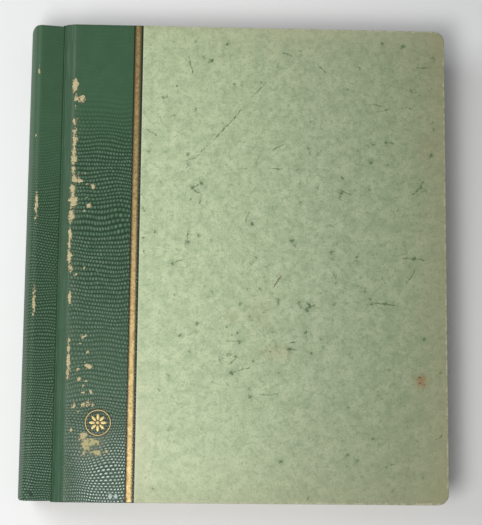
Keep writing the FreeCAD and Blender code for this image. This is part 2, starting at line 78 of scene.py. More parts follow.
# The frame's own places
MID_Z = CAD_BOX[1].z / 2
SPINE_LOW, SPINE_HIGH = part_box("spine_cloth")
QUARTER_LOW, QUARTER_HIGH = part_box("front_quarter_cloth")
PAPER_LOW, PAPER_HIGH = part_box("front_paper")
PASTE_LOW, PASTE_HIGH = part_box("front_pastedown")
BOARD_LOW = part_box("front_board")[0]
RULE_LOW, RULE_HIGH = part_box("front_gilt_rule")
EMBLEM_LOW, EMBLEM_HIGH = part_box("front_emblem")
INNER_LOW, INNER_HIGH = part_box("front_inner_joint")
LEAF_LOW, LEAF_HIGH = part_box("leaf_01")
TURN_LINES = {joint["child"]: joint["pos_m"] for joint in frame["joints"]}
HINGE_LINE = Vector(TURN_LINES["front_cover"])
LEAVES = sorted(name for name in TURN_LINES if name.startswith("leaf_"))

# Sheets that cover the album
CLOTH_THICK = 0.45 * MM
PAPER_THICK = 0.40 * MM
INNER_THICK = 0.40 * MM
EDGE_ROUND = 0.8 * MM
CORNER_ROUND = 7.0 * MM
LINEN_THICK = 0.25 * MM
FOIL_RISE = 0.03 * MM
FOIL_THICK = 0.02 * MM
FOLD_HALF = 0.3 * MM
SHARP_EDGE = math.radians(50)

# The spine's section
BACK_BULGE = 5.8 * MM
MOUTH_DROP = 3.2 * MM
SHOULDER_DROP = 0.2 * MM
SHOULDER_ROUND = 4.5 * MM
SPINE_TURN_IN = 9.0 * MM

# Spacing of the painted grids
CLOTH_STEP = 1.4 * MM
PAPER_STEP = 2.6 * MM

SIDES = ("front", "back")


def even_steps(start, end, step):
    """Evenly spaced values from start to end, no wider apart than step."""
    return np.linspace(start, end, max(2, int(math.ceil(abs(end - start) / step)) + 1))


def eased(points, rounds=3):
    """A line of given points with its corners cut smooth, its two ends kept."""
    line = np.array(points, float)
    for _ in range(rounds):
        near = line[:-1] * 0.75 + line[1:] * 0.25
        far = line[:-1] * 0.25 + line[1:] * 0.75
        cut = np.stack([near, far], axis=1).reshape(-1, line.shape[1])
        line = np.concatenate([line[:1], cut, line[-1:]])
    return line


def run_length(line):
    """Distance along a line of points, from its first point."""
    return np.concatenate([[0.0], np.cumsum(np.linalg.norm(np.diff(line, axis=0), axis=1))])


def smooth(value, low, high):
    """0 below low, 1 above high, eased between."""
    share = np.clip((value - low) / (high - low), 0, 1)
    return share * share * (3 - 2 * share)


def plain_mesh(piece):
    """The piece with its modifiers made part of its mesh."""
    graph = bpy.context.evaluated_depsgraph_get()
    mesh = bpy.data.meshes.new_from_object(piece.evaluated_get(graph))
    piece.modifiers.clear()
    piece.data = mesh
    return piece


def soft_shaded(piece):
    """The piece shaded smooth, apart from its sharp edges."""
    piece.data.shade_smooth()
    piece.data.set_sharp_from_angle(angle=SHARP_EDGE)
    return piece


def walled(mesh, marks, thickness, finish):
    """The piece that an open surface makes with a wall of even thickness behind it and its painted marks."""
    for mark, amount in marks.items():
        attribute = mesh.attributes.new(mark, "FLOAT", "POINT")
        attribute.data.foreach_set("value", np.array(amount, np.float32).ravel())
    mesh.materials.append(finish)
    piece = bpy.data.objects.new(mesh.name, mesh)
    SCENE.collection.objects.link(piece)
    wall = piece.modifiers.new("wall", "SOLIDIFY")
    wall.thickness = thickness
    wall.offset = -1
    return soft_shaded(plain_mesh(piece))


def grid_faces(rows, columns):
    """The four-cornered faces between the points of a grid, by the points' numbers."""
    index = np.arange(rows * columns).reshape(rows, columns)
    faces = np.stack([index[:-1, :-1], index[1:, :-1], index[1:, 1:], index[:-1, 1:]], axis=-1)
    return faces.reshape(-1, 4)


def sheet(name, points, uv, marks, thickness, finish, mirrored=False):
    """A sheet under a grid of surface points, with a UV map in metres and its painted marks.

    A mirrored sheet is the same one on the back cover.
    """
    points = np.array(points, float)
    corners = grid_faces(*points.shape[:2])
    if mirrored:
        points[..., 2] = 2 * MID_Z - points[..., 2]
        corners = corners[:, ::-1]
    mesh = bpy.data.meshes.new(name)
    mesh.from_pydata(points.reshape(-1, 3).tolist(), [], corners.tolist())
    layer = mesh.uv_layers.new(name="cloth")
    layer.data.foreach_set("uv", np.array(uv, float).reshape(-1, 2)[corners.ravel()].ravel())
    return walled(mesh, marks, thickness, finish)


class Finish:
    """A material in the making: each call adds to its node tree and gives back the result."""

    def __init__(self, name, roughness=0.6, metallic=0.0, specular=0.5):
        self.material = bpy.data.materials.new(name)
        self.material.use_nodes = True
        self.tree = self.material.node_tree
        self.shader = self.tree.nodes["Principled BSDF"]
        self.shader.inputs["Roughness"].default_value = roughness
        self.shader.inputs["Metallic"].default_value = metallic
        self.shader.inputs["Specular IOR Level"].default_value = specular

    def feed(self, socket, value):
        if isinstance(value, bpy.types.NodeSocket):
            self.tree.links.new(value, socket)
        elif isinstance(value, tuple) and len(value) == 3 and socket.type == "RGBA":
            socket.default_value = (*value, 1.0)
        else:
            socket.default_value = value

    def node(self, kind, inputs=(), **settings):
        made = self.tree.nodes.new(kind)
        for setting, value in settings.items():
            setattr(made, setting, value)
        for socket, value in dict(inputs).items():
            self.feed(made.inputs[socket], value)
        return made

    def places(self):
        return self.node("ShaderNodeTexCoord").outputs["Object"]

    def surface(self):
        return self.node("ShaderNodeUVMap", uv_map="cloth").outputs["UV"]

    def mark(self, name):
        return self.node("ShaderNodeAttribute", attribute_name=name).outputs["Fac"]

    def math(self, operation, *values):
        return self.node("ShaderNodeMath", enumerate(values), operation=operation).outputs["Value"]

    def vector(self, operation, *values):
        inputs = dict(enumerate(values))
        if operation == "SCALE":
            inputs = {0: values[0], "Scale": values[1]}
        made = self.node("ShaderNodeVectorMath", inputs, operation=operation)
        return made.outputs["Value" if operation in ("DOT_PRODUCT", "LENGTH", "DISTANCE") else "Vector"]

    def split(self, vector):
        return self.node("ShaderNodeSeparateXYZ", {"Vector": vector}).outputs

    def join(self, x, y, z=0.0):
        return self.node("ShaderNodeCombineXYZ", {"X": x, "Y": y, "Z": z}).outputs["Vector"]

    def between(self, value, low, high):
        inputs = {"Value": value, "From Min": low, "From Max": high}
        return self.node("ShaderNodeMapRange", inputs, interpolation_type="SMOOTHSTEP").outputs["Result"]

    def mix(self, share, first, second):
        made = self.node("ShaderNodeMix", data_type="RGBA")
        self.feed(made.inputs["Factor"], share)
        self.feed(made.inputs[6], first)
        self.feed(made.inputs[7], second)
        return made.outputs[2]

    def noise(self, place, size, detail=2.0, rough=0.5, distortion=0.0, colour=False):
        inputs = {"Vector": place, "Scale": 1 / size, "Detail": detail, "Roughness": rough}
        made = self.node("ShaderNodeTexNoise", {**inputs, "Distortion": distortion})
        return made.outputs["Color" if colour else "Fac"]

    def sway(self, place, size, amount, detail=2.0, rough=0.5):
        """The way that a noise pushes each place aside, up to half the amount."""
        push = self.vector("SUBTRACT", self.noise(place, size, detail, rough, colour=True), (0.5, 0.5, 0.5))
        return self.vector("SCALE", push, amount)

    def centred(self, value, amount):
        """A noise or chance value moved to lie evenly about zero, and made amount times as strong."""
        return self.math("MULTIPLY_ADD", value, amount, -amount / 2)

    def times(self, value, share):
        return self.math("MULTIPLY", value, share)

    def gap_to_cell(self, place, size):
        """How far the middle of the nearest of many scattered cells is, in cells."""
        return self.node("ShaderNodeTexVoronoi", {"Vector": place, "Scale": 1 / size}).outputs["Distance"]

    def relief(self, height, depth, below=None):
        inputs = {"Height": height, "Distance": depth}
        if below is not None:
            inputs["Normal"] = below
        return self.node("ShaderNodeBump", inputs).outputs["Normal"]

    def done(self, colour=None, roughness=None, normal=None):
        for socket, value in (("Base Color", colour), ("Roughness", roughness), ("Normal", normal)):
            if value is not None:
                self.feed(self.shader.inputs[socket], value)
        return self.material


# Finishes of the outside


def swell(finish, place, centre, reach, growth):
    """The place pulled towards a centre, so that a pattern on it grows larger there."""
    away = finish.vector("SUBTRACT", place, (*centre, 0.0))
    near = finish.times(finish.vector("DOT_PRODUCT", away, away), -1 / reach**2)
    pull = finish.times(finish.math("EXPONENT", near), growth)
    return finish.vector("SUBTRACT", place, finish.vector("SCALE", away, pull))


# Colours of the leathercloth, its scales, its wear and its cream backing, and the highlights, glints and
# shade painted on it
DEEP_GREEN = (0.038, 0.096, 0.047)
LIGHT_GREEN = (0.052, 0.118, 0.060)
# Painted shade in the valleys between scales, and a painted highlight on their crowns
PAINTED_VALLEY_SHADE = (0.008, 0.037, 0.014)
PAINTED_CROWN_HIGHLIGHT = (0.120, 0.205, 0.135)
# Painted glint on the scales' crowns, silvery towards the tail
PAINTED_GLINT = (0.58, 0.68, 0.64)
# Painted shade round a broad scale's rim, and a painted highlight on its crown
PLATE_RIM_SHADE = (0.020, 0.050, 0.028)
PLATE_CROWN_HIGHLIGHT = (0.40, 0.50, 0.46)
# Lighter green of rubbed wear, also used for a painted highlight streak on the spine
RUBBED_AND_HIGHLIGHT_GREEN = (0.105, 0.140, 0.085)
# Painted shade in the joint's groove, and painted highlight streaks along it
JOINT_SHADE_GREEN = (0.020, 0.058, 0.028)
JOINT_HIGHLIGHT_STREAK = (0.105, 0.170, 0.108)
# Painted shade of a fold
PAINTED_CREASE_SHADE = (0.010, 0.026, 0.016)
# Dark lines along the gilt rule, also painted shade between the rule and the paper's edge
RULE_OUTLINE_AND_SHADE = (0.022, 0.030, 0.014)
# Painted shade along the emblem's ring, and its darker ground inside
EMBLEM_SHADE_AND_GROUND = (0.020, 0.032, 0.016)
BROWN_BACKING = (0.26, 0.21, 0.10)
CREAM_BACKING = (0.78, 0.68, 0.42)
SOILED_BACKING = (0.36, 0.36, 0.17)
SCUFFED_GREEN = (0.030, 0.050, 0.024)


def lizard_leathercloth(name, scale, gloss, swells=(), plates=(), creases=(), rule=None, ring=None):
    """Glazed green leathercloth with rows of lizard scales, flaked to its cream backing where it is worn.

    A scale is (width, height, height below TAIL_SCALES) and the gloss is (roughness, specular level). The
    swells are where scales grow large, the plates are single broad scales with a painted highlight and
    painted shade round them, and the creases are folds drawn as painted shade. Painted highlights lighten the
    scales' crowns, painted silvery glints brighten them towards the tail, and painted shade darkens their
    valleys and the joint's groove, along which painted highlight streaks run. The gilt rule is edged with
    dark lines, with painted shade from it to the paper's edge, and the emblem's ring has painted shade along
    it and a darker ground inside.
    """
    across_size, along_size, tail_size = scale
    glaze, shine = gloss
    finish = Finish(name, specular=shine)
    cloth = finish.surface()
    place = cloth
    for centre, reach, growth in swells:
        place = swell(finish, place, centre, reach, growth)
    for size, amount in ((30 * MM, 11.0 * MM), (3.0 * MM, 0.7 * MM)):
        place = finish.vector("ADD", place, finish.sway(place, size, amount, 1.0))

    across, along, _ = finish.split(place)
    upper_rows = finish.math("DIVIDE", finish.math("MAXIMUM", along, TAIL_SCALES), along_size)
    below_start = finish.math("MINIMUM", finish.math("SUBTRACT", along, TAIL_SCALES), 0.0)
    row_place = finish.math("ADD", upper_rows, finish.math("DIVIDE", below_start, tail_size))
    row = finish.math("FLOOR", row_place)
    shifted = finish.times(finish.math("FLOORED_MODULO", row, 2.0), 0.5)
    scale_place = finish.math("ADD", finish.math("DIVIDE", across, across_size), shifted)
    bows = []
    for value in (scale_place, row_place):
        off_centre = finish.math("SUBTRACT", finish.math("FRACT", value), 0.5)
        bows.append(finish.math("MULTIPLY_ADD", finish.times(off_centre, off_centre), -4.0, 1.0))
    dome = finish.times(bows[0], finish.math("POWER", bows[1], 2.0))
    which = finish.join(finish.math("FLOOR", scale_place), row)
    luck = finish.node("ShaderNodeTexWhiteNoise", {"Vector": which}, noise_dimensions="2D").outputs["Value"]

    grained = finish.mark("grain")
    grain = finish.times(grained, finish.math("MULTIPLY_ADD", luck, 0.7, 0.45))
    crown = finish.times(finish.between(dome, 0.45, 0.92), grain)
    valley = finish.times(finish.between(dome, 0.62, 0.05), grained)

    patches = finish.noise(cloth, 9 * MM, 4.0, 0.6)
    green = finish.mix(patches, DEEP_GREEN, LIGHT_GREEN)
    # Painted shade in the valleys and painted highlights on the crowns
    green = finish.mix(finish.times(valley, 0.86), green, PAINTED_VALLEY_SHADE)
    green = finish.mix(finish.times(crown, 0.70), green, PAINTED_CROWN_HIGHLIGHT)
    # Painted glints: crowns made silvery towards the tail, where light would catch them
    painted_glints = finish.times(finish.mark("painted_glints"), crown)
    green = finish.mix(painted_glints, green, PAINTED_GLINT)
    # Broad scales: painted shade round the rim, a painted highlight on the crown
    for centre_x, centre_y, half_wide, half_high in plates:
        off = finish.vector("SUBTRACT", cloth, (cloth_place(centre_x * MM), centre_y * MM, 0.0))
        out = finish.vector("LENGTH", finish.vector("DIVIDE", off, (half_wide * MM, half_high * MM, 1.0)))
        green = finish.mix(finish.between(out, 1.35, 1.0), green, PLATE_RIM_SHADE)
        green = finish.mix(finish.between(out, 1.0, 0.7), green, PLATE_CROWN_HIGHLIGHT)
    # Rubbed wear on the front cover; on the spine the same mark paints a highlight streak and a faint lighter
    # line
    rubbed = finish.times(finish.mark("rubbed"), finish.between(patches, 0.3, 0.6))
    green = finish.mix(rubbed, green, RUBBED_AND_HIGHLIGHT_GREEN)
    streaks = finish.noise(finish.vector("MULTIPLY", cloth, (1.0, 0.04, 1.0)), 0.9 * MM, 3.0, 0.6)
    # The joint band: smooth where the cloth is pressed, with painted shade and painted highlight streaks
    pressed_and_shaded = finish.mark("pressed_and_shaded")
    highlight_streaks = finish.times(finish.between(streaks, 0.5, 0.68), pressed_and_shaded)
    green = finish.mix(finish.times(pressed_and_shaded, 0.40), green, JOINT_SHADE_GREEN)
    green = finish.mix(finish.times(highlight_streaks, 0.40), green, JOINT_HIGHLIGHT_STREAK)
    # Each crease is a line of painted shade
    for crease in creases:
        fold = thread(finish, finish.places(), crease)
        green = finish.mix(finish.times(fold, 0.8), green, PAINTED_CREASE_SHADE)
    # Dark lines along the rule's edges; from its far edge on, painted shade where the paper's edge stands
    # above the cloth
    if rule is not None:
        rule_start, rule_end, outline = rule
        u, _, _ = finish.split(cloth)
        before = finish.math("COMPARE", u, rule_start, outline)
        shade_past_rule = finish.between(u, rule_end - outline, rule_end)
        green = finish.mix(finish.math("MAXIMUM", before, shade_past_rule), green, RULE_OUTLINE_AND_SHADE)
    # Painted shade in a band along the emblem's ring, and a darker ground inside it
    if ring is not None:
        centre, radius, shade = ring
        out = finish.vector("DISTANCE", cloth, (*centre, 0.0))
        beside = finish.math("ABSOLUTE", finish.math("SUBTRACT", out, radius))
        ring_shade = finish.times(finish.between(beside, shade, shade * 0.5), 0.85)
        inside = finish.times(finish.math("LESS_THAN", out, radius), 0.5)
        green = finish.mix(finish.math("MAXIMUM", ring_shade, inside), green, EMBLEM_SHADE_AND_GROUND)

    ragged = finish.noise(cloth, 1.5 * MM, 5.0, 0.75)
    worn = finish.math("ADD", finish.mark("wear"), finish.centred(ragged, 1.7))
    worn = finish.math("ADD", worn, finish.centred(luck, 0.3))
    scuffed = finish.between(worn, 0.30, 0.5)
    flaked = finish.between(worn, 0.49, 0.57)
    backing = finish.mix(finish.noise(cloth, 0.8 * MM, 2.0), BROWN_BACKING, CREAM_BACKING)
    backing = finish.mix(finish.times(finish.mark("rubbed"), 0.6), backing, SOILED_BACKING)
    colour = finish.mix(finish.times(scuffed, 0.45), green, SCUFFED_GREEN)
    colour = finish.mix(flaked, colour, backing)

    sheen = finish.math("MULTIPLY_ADD", patches, 0.14, glaze)
    sheen = finish.math("MAXIMUM", sheen, finish.times(pressed_and_shaded, 0.62))
    roughness = finish.math("MAXIMUM", sheen, finish.times(flaked, 0.9))
    raised = finish.times(dome, grain)
    height = finish.math("SUBTRACT", raised, finish.times(flaked, 0.8))
    normal = finish.relief(height, 0.15 * MM, finish.relief(finish.noise(cloth, 4 * MM, 2.0), 0.10 * MM))
    return finish.done(colour, roughness, normal)


def thread(finish, place, stroke):
    """A drawn thread that bows to one side and thins out at both ends.

    A stroke is (start x, start y, end x, end y, bow, width) in millimetres.
    """
    start_x, start_y, end_x, end_y, bow, width = (value * MM for value in stroke)
    start = np.array([start_x, start_y])
    run = np.array([end_x, end_y]) - start
    long = float(np.linalg.norm(run))
    ahead = run / long
    off_start = finish.vector("SUBTRACT", place, (*start, 0.0))
    share = finish.vector("DOT_PRODUCT", off_start, (*(ahead / long), 0.0))
    aside = finish.vector("DOT_PRODUCT", off_start, (-ahead[1], ahead[0], 0.0))
    arch = finish.times(share, finish.math("SUBTRACT", 1.0, share))
    gap = finish.math("ABSOLUTE", finish.math("MULTIPLY_ADD", arch, -4 * bow, aside))
    return finish.times(finish.between(gap, width, width * 0.2), finish.between(arch, 0.0, 0.12))


def threads(finish, place, strokes):
    """All the strokes of one colour."""
    drawn = thread(finish, place, strokes[0])
    for stroke in strokes[1:]:
        drawn = finish.math("MAXIMUM", drawn, thread(finish, place, stroke))
    return drawn


def knots(finish, place, centres):
    """How far the nearest of the given places is."""
    gap = None
    for x, y in centres:
        one = finish.vector("DISTANCE", place, (x * MM, y * MM, 0.0))
        gap = one if gap is None else finish.math("MINIMUM", gap, one)
    return gap


# Colours of the marbled paper, its veins, its stains, its worn edges, and its painted light and highlight
DULL_CLOUD = (0.415, 0.512, 0.304)
PALE_CLOUD = (0.575, 0.660, 0.415)
CURD_GREEN = (0.320, 0.415, 0.245)
SPECKLE_GREEN = (0.27, 0.35, 0.20)
PALE_SPECKLE = (0.68, 0.75, 0.52)
# Pale tone for painted light in the tail corner and for the worn pale edge along the head
FADED_AND_LIT_PAPER = (0.66, 0.635, 0.425)
TONED_PAPER = (0.320, 0.285, 0.155)
STAIN_BROWN = (0.29, 0.125, 0.032)
VEIN_GREEN = (0.100, 0.155, 0.072)
THREAD_GREEN = (0.075, 0.130, 0.058)
KNOT_HALO = (0.18, 0.26, 0.13)
KNOT_GREEN = (0.062, 0.110, 0.048)
RUST_BROWN = (0.125, 0.060, 0.030)
RUBBED_EDGE = (0.58, 0.54, 0.42)
# Painted highlight along the paper's cut edge by the gilt rule, where light catches it
CUT_EDGE_HIGHLIGHT = (0.66, 0.66, 0.50)


def veined_paper(name, way):
    """Pale green marbled paper: soft clouds, fine dark veins with knots in them, and brown toned edges.

    The way, 1 or -1, turns the veins over head to tail, so that the two covers differ.
    """
    finish = Finish(name, specular=0.35)
    flat = finish.vector("MULTIPLY", finish.places(), (1.0, float(way), 0.0))
    place = flat
    for size, amount in ((6.0 * MM, 1.6 * MM), (1.5 * MM, 1.3 * MM)):
        place = finish.vector("ADD", place, finish.sway(flat, size, amount))
    tangled = finish.vector("ADD", flat, finish.sway(flat, 1.3 * MM, 4.6 * MM, 3.0, 0.6))
    clouds = finish.noise(flat, 9 * MM, 5.0, 0.68)
    curds = finish.noise(place, 3.4 * MM, 3.0, 0.6)
    green = finish.mix(finish.between(clouds, 0.3, 0.7), DULL_CLOUD, PALE_CLOUD)
    curdled = finish.times(finish.between(curds, 0.47, 0.66), 0.60)
    green = finish.mix(curdled, green, CURD_GREEN)
    for size, share in ((1.3 * MM, 0.62), (0.8 * MM, 0.55)):
        speckle = finish.between(finish.noise(flat, size, 2.0, 0.7), 0.52, 0.72)
        green = finish.mix(finish.times(speckle, share), green, SPECKLE_GREEN)
    pale = finish.between(finish.noise(flat, 1.1 * MM, 2.0, 0.6), 0.56, 0.72)
    green = finish.mix(finish.times(pale, 0.55), green, PALE_SPECKLE)
    # Painted shade: the green darkened towards the fore-edge, and more towards the tail there, standing in
    # for light that falls off
    green = finish.mix(finish.mark("shaded"), green, finish.vector("SCALE", green, 0.60))
    # Painted light in the tail corner and a worn pale edge along the head
    green = finish.mix(finish.mark("faded_and_lit"), green, FADED_AND_LIT_PAPER)
    toned = finish.times(finish.mark("toned"), finish.math("MULTIPLY_ADD", clouds, 0.9, 0.55))
    colour = finish.mix(toned, green, TONED_PAPER)
    stained = finish.times(finish.mark("stain"), finish.math("MULTIPLY_ADD", curds, 1.6, 0.2))
    colour = finish.mix(stained, colour, STAIN_BROWN)

    scattered = finish.centred(finish.noise(flat, 7 * MM), 1.9)
    clusters = finish.between(finish.math("ADD", finish.mark("veins"), scattered), 0.26, 0.44)
    for size, width, strength in ((7 * MM, 0.040, 0.7), (3.6 * MM, 0.060, 0.6)):
        level = finish.noise(place, size, distortion=1.0)
        away = finish.math("ABSOLUTE", finish.math("SUBTRACT", level, 0.5))
        vein = finish.times(finish.between(away, width, width * 0.25), clusters)
        colour = finish.mix(finish.times(vein, strength), colour, VEIN_GREEN)
    gaps = finish.between(finish.noise(flat, 1.9 * MM), 0.40, 0.58)
    broken = finish.math("MULTIPLY_ADD", gaps, 0.62, 0.22)
    drawn = finish.times(threads(finish, place, DRAWN_THREADS), broken)
    colour = finish.mix(drawn, colour, THREAD_GREEN)
    for centres, reach, strength in ((LARGE_KNOTS, 1.5 * MM, 0.78), (SMALL_KNOTS, 1.0 * MM, 0.68)):
        gap = knots(finish, tangled, centres)
        halo = finish.times(finish.between(gap, reach * 3.0, reach * 0.6), 0.26)
        colour = finish.mix(halo, colour, KNOT_HALO)
        spots = finish.times(finish.between(gap, reach, reach * 0.35), strength)
        colour = finish.mix(spots, colour, KNOT_GREEN)
    flecks = finish.between(knots(finish, tangled, RUST_KNOTS), 1.0 * MM, 0.4 * MM)
    rust = finish.math("MAXIMUM", threads(finish, place, RUST_THREADS), flecks)
    colour = finish.mix(finish.times(rust, 0.8), colour, RUST_BROWN)

    x, y, _ = finish.split(flat)
    to_fore = finish.math("SUBTRACT", PAPER_HIGH.x, x)
    to_end = finish.math("SUBTRACT", PAPER_HIGH.y, finish.math("ABSOLUTE", y))
    chipped = finish.centred(finish.noise(flat, 2.4 * MM, 3.0, 0.65), 6.0 * MM)
    to_edge = finish.math("ADD", finish.math("MINIMUM", to_fore, to_end), chipped)
    rubbed = finish.times(finish.between(to_edge, 1.1 * MM, 0.1 * MM), 0.6)
    colour = finish.mix(rubbed, colour, RUBBED_EDGE)
    # Painted highlight along the cut edge
    cut_edge_highlight = finish.times(finish.between(x, PAPER_LOW.x + 0.7 * MM, PAPER_LOW.x), 0.7)
    colour = finish.mix(cut_edge_highlight, colour, CUT_EDGE_HIGHLIGHT)

    fibre = finish.noise(flat, 0.7 * MM, 2.0)
    normal = finish.relief(fibre, 0.03 * MM, finish.relief(clouds, 0.10 * MM))
    return finish.done(colour, finish.math("MULTIPLY_ADD", clouds, 0.2, 0.40), normal)


# Colours of the gilt
BRIGHT_GILT = (0.55, 0.425, 0.19)
# Brown of the gilt's worn edges, also used as painted shade towards the head
BROWN_AND_SHADED_GILT = (0.22, 0.14, 0.06)
PIN_HOLE = (0.10, 0.075, 0.035)


def worn_gilt(name):
    """Blocked gold foil, brown at its edges and darkened towards the head by painted shade, with pin holes
    through to the cloth.
    """
    finish = Finish(name, metallic=0.85, specular=0.5)
    place = finish.places()
    mottle = finish.noise(place, 1.6 * MM, 3.0, 0.6)
    brown_and_shaded = finish.math("ADD", finish.mark("brown_and_shaded"), finish.centred(mottle, 1.1))
    colour = finish.mix(finish.between(brown_and_shaded, 0.05, 0.85), BRIGHT_GILT, BROWN_AND_SHADED_GILT)
    holes = finish.between(finish.noise(place, 0.8 * MM, 2.0), 0.66, 0.72)
    colour = finish.mix(holes, colour, PIN_HOLE)
    normal = finish.relief(mottle, 0.08 * MM)
    return finish.done(colour, finish.math("MULTIPLY_ADD", mottle, 0.25, 0.40), normal)


# Finishes of the inside


# Colours of the leaves and endpapers
DULL_PAGE = (0.66, 0.60, 0.45)
PALE_PAGE = (0.78, 0.73, 0.58)
PRINT_GREY = (0.22, 0.27, 0.25)
TONED_PAGE = (0.42, 0.33, 0.19)
PALE_ENDPAPER = (0.70, 0.64, 0.47)
DULL_ENDPAPER = (0.60, 0.53, 0.36)
FOXING_BROWN = (0.36, 0.21, 0.09)


def page_paper(name):
    """Cream album leaf with a faint printed quadrille inside a ruled border, toned at its edges."""
    square, line_width = 5.0 * MM, 0.16 * MM
    margin, border_half = 14.0 * MM, 0.35 * MM
    toned_edge = 9.0 * MM
    finish = Finish(name, roughness=0.75, specular=0.25)
    place = finish.places()
    x, y, _ = finish.split(place)
    fibre = finish.noise(finish.vector("MULTIPLY", place, (1.0, 1.0, 6.0)), 1.2 * MM, 3.0)
    cream = finish.mix(fibre, DULL_PAGE, PALE_PAGE)
    off_x = finish.math("SUBTRACT", x, (LEAF_LOW.x + LEAF_HIGH.x) / 2)
    half_wide, half_high = (LEAF_HIGH.x - LEAF_LOW.x) / 2, LEAF_HIGH.y
    lines, gaps = [], []
    for off_middle, half in ((off_x, half_wide), (y, half_high)):
        to_line = finish.math("PINGPONG", off_middle, square / 2)
        lines.append(finish.math("LESS_THAN", to_line, line_width / 2))
        gaps.append(finish.math("SUBTRACT", half, finish.math("ABSOLUTE", off_middle)))
    edge_gap = finish.math("MINIMUM", *gaps)
    inside = finish.math("GREATER_THAN", edge_gap, margin)
    ruled = finish.times(finish.math("MAXIMUM", *lines), inside)
    border = finish.math("COMPARE", edge_gap, margin, border_half)
    printed = finish.math("MAXIMUM", finish.times(ruled, 0.35), border)
    colour = finish.mix(finish.times(printed, 0.6), cream, PRINT_GREY)
    toned = finish.between(edge_gap, toned_edge, 0.0)
    colour = finish.mix(finish.times(toned, 0.55), colour, TONED_PAGE)
    return finish.done(colour, None, finish.relief(fibre, 0.02 * MM))


def end_paper(name):
    """Plain cream endpaper, foxed and toned."""
    finish = Finish(name, roughness=0.7, specular=0.3)
    place = finish.places()
    clouds = finish.noise(place, 22 * MM, 4.0, 0.6)
    colour = finish.mix(clouds, PALE_ENDPAPER, DULL_ENDPAPER)
    spots = finish.between(finish.gap_to_cell(place, 11 * MM), 0.09, 0.02)
    foxed = finish.times(spots, finish.between(clouds, 0.5, 0.6))
    colour = finish.mix(foxed, colour, FOXING_BROWN)
    return finish.done(colour, None, finish.relief(finish.noise(place, 0.6 * MM, 2.0), 0.02 * MM))


def woven(name, light, dark, yarn):
    """Plain-woven cloth, its yarn of one width."""
    finish = Finish(name, roughness=0.85, specular=0.2)
    x, y, z = finish.split(finish.places())
    along = finish.math("PINGPONG", y, yarn)
    over = finish.math("PINGPONG", finish.math("ADD", x, z), yarn)
    weave = finish.math("DIVIDE", finish.math("MAXIMUM", along, over), yarn)
    colour = finish.mix(weave, dark, light)
    return finish.done(colour, None, finish.relief(weave, yarn * 0.4))


def grey_board(name, light, dark):
    """Pressed card or board with fibres and pressing marks."""
    finish = Finish(name, roughness=0.9, specular=0.2)
    place = finish.places()
    fibre = finish.noise(finish.vector("MULTIPLY", place, (1.0, 0.25, 4.0)), 0.9 * MM, 3.0, 0.6)
    colour = finish.mix(fibre, dark, light)
    return finish.done(colour, None, finish.relief(fibre, 0.05 * MM))


def spring_steel(name, light, dark):
    """Rolled steel with fine lines along its length."""
    finish = Finish(name, metallic=1.0)
    place = finish.places()
    lines = finish.noise(finish.vector("MULTIPLY", place, (1.0, 0.04, 1.0)), 0.5 * MM, 3.0, 0.6)
    colour = finish.mix(lines, dark, light)
    roughness = finish.math("MULTIPLY_ADD", lines, 0.25, 0.25)
    return finish.done(colour, roughness, finish.relief(lines, 0.01 * MM))


# The photograph's frame in pixels, and where its perspective puts the camera
PHOTO_WIDE, PHOTO_HIGH = 482, 525
FOCAL_PIXELS = 1300
CAMERA_PLACE = Vector((-23.9 * MM, -107.1 * MM, 817.7 * MM))
CAMERA_TURN = Euler((math.radians(7.656), math.radians(-2.070), math.radians(0.571)))

# How high the faces lie that the photograph shows: the cover's, and the round of the spine beside it
COVER_FACE = PAPER_HIGH.z
SPINE_FACE = 33.0 * MM


def shown_at(across, down, height):
    """Where a pixel of the photograph lies on a level face: (x, y) in millimetres from the middle."""
    sight = Vector((across - PHOTO_WIDE / 2, PHOTO_HIGH / 2 - down, -FOCAL_PIXELS))
    sight.rotate(CAMERA_TURN)
    reach = (height - CAMERA_PLACE.z) / sight.z
    return tuple((CAMERA_PLACE + reach * sight).xy / MM)


def from_photo(rows, height, places=1):
    """Rows that start with one or two places in the photograph's pixels, with those places in millimetres."""
    return [
        sum((shown_at(*row[2 * i:2 * i + 2], height) for i in range(places)), ()) + row[2 * places:]
        for row in rows
    ]


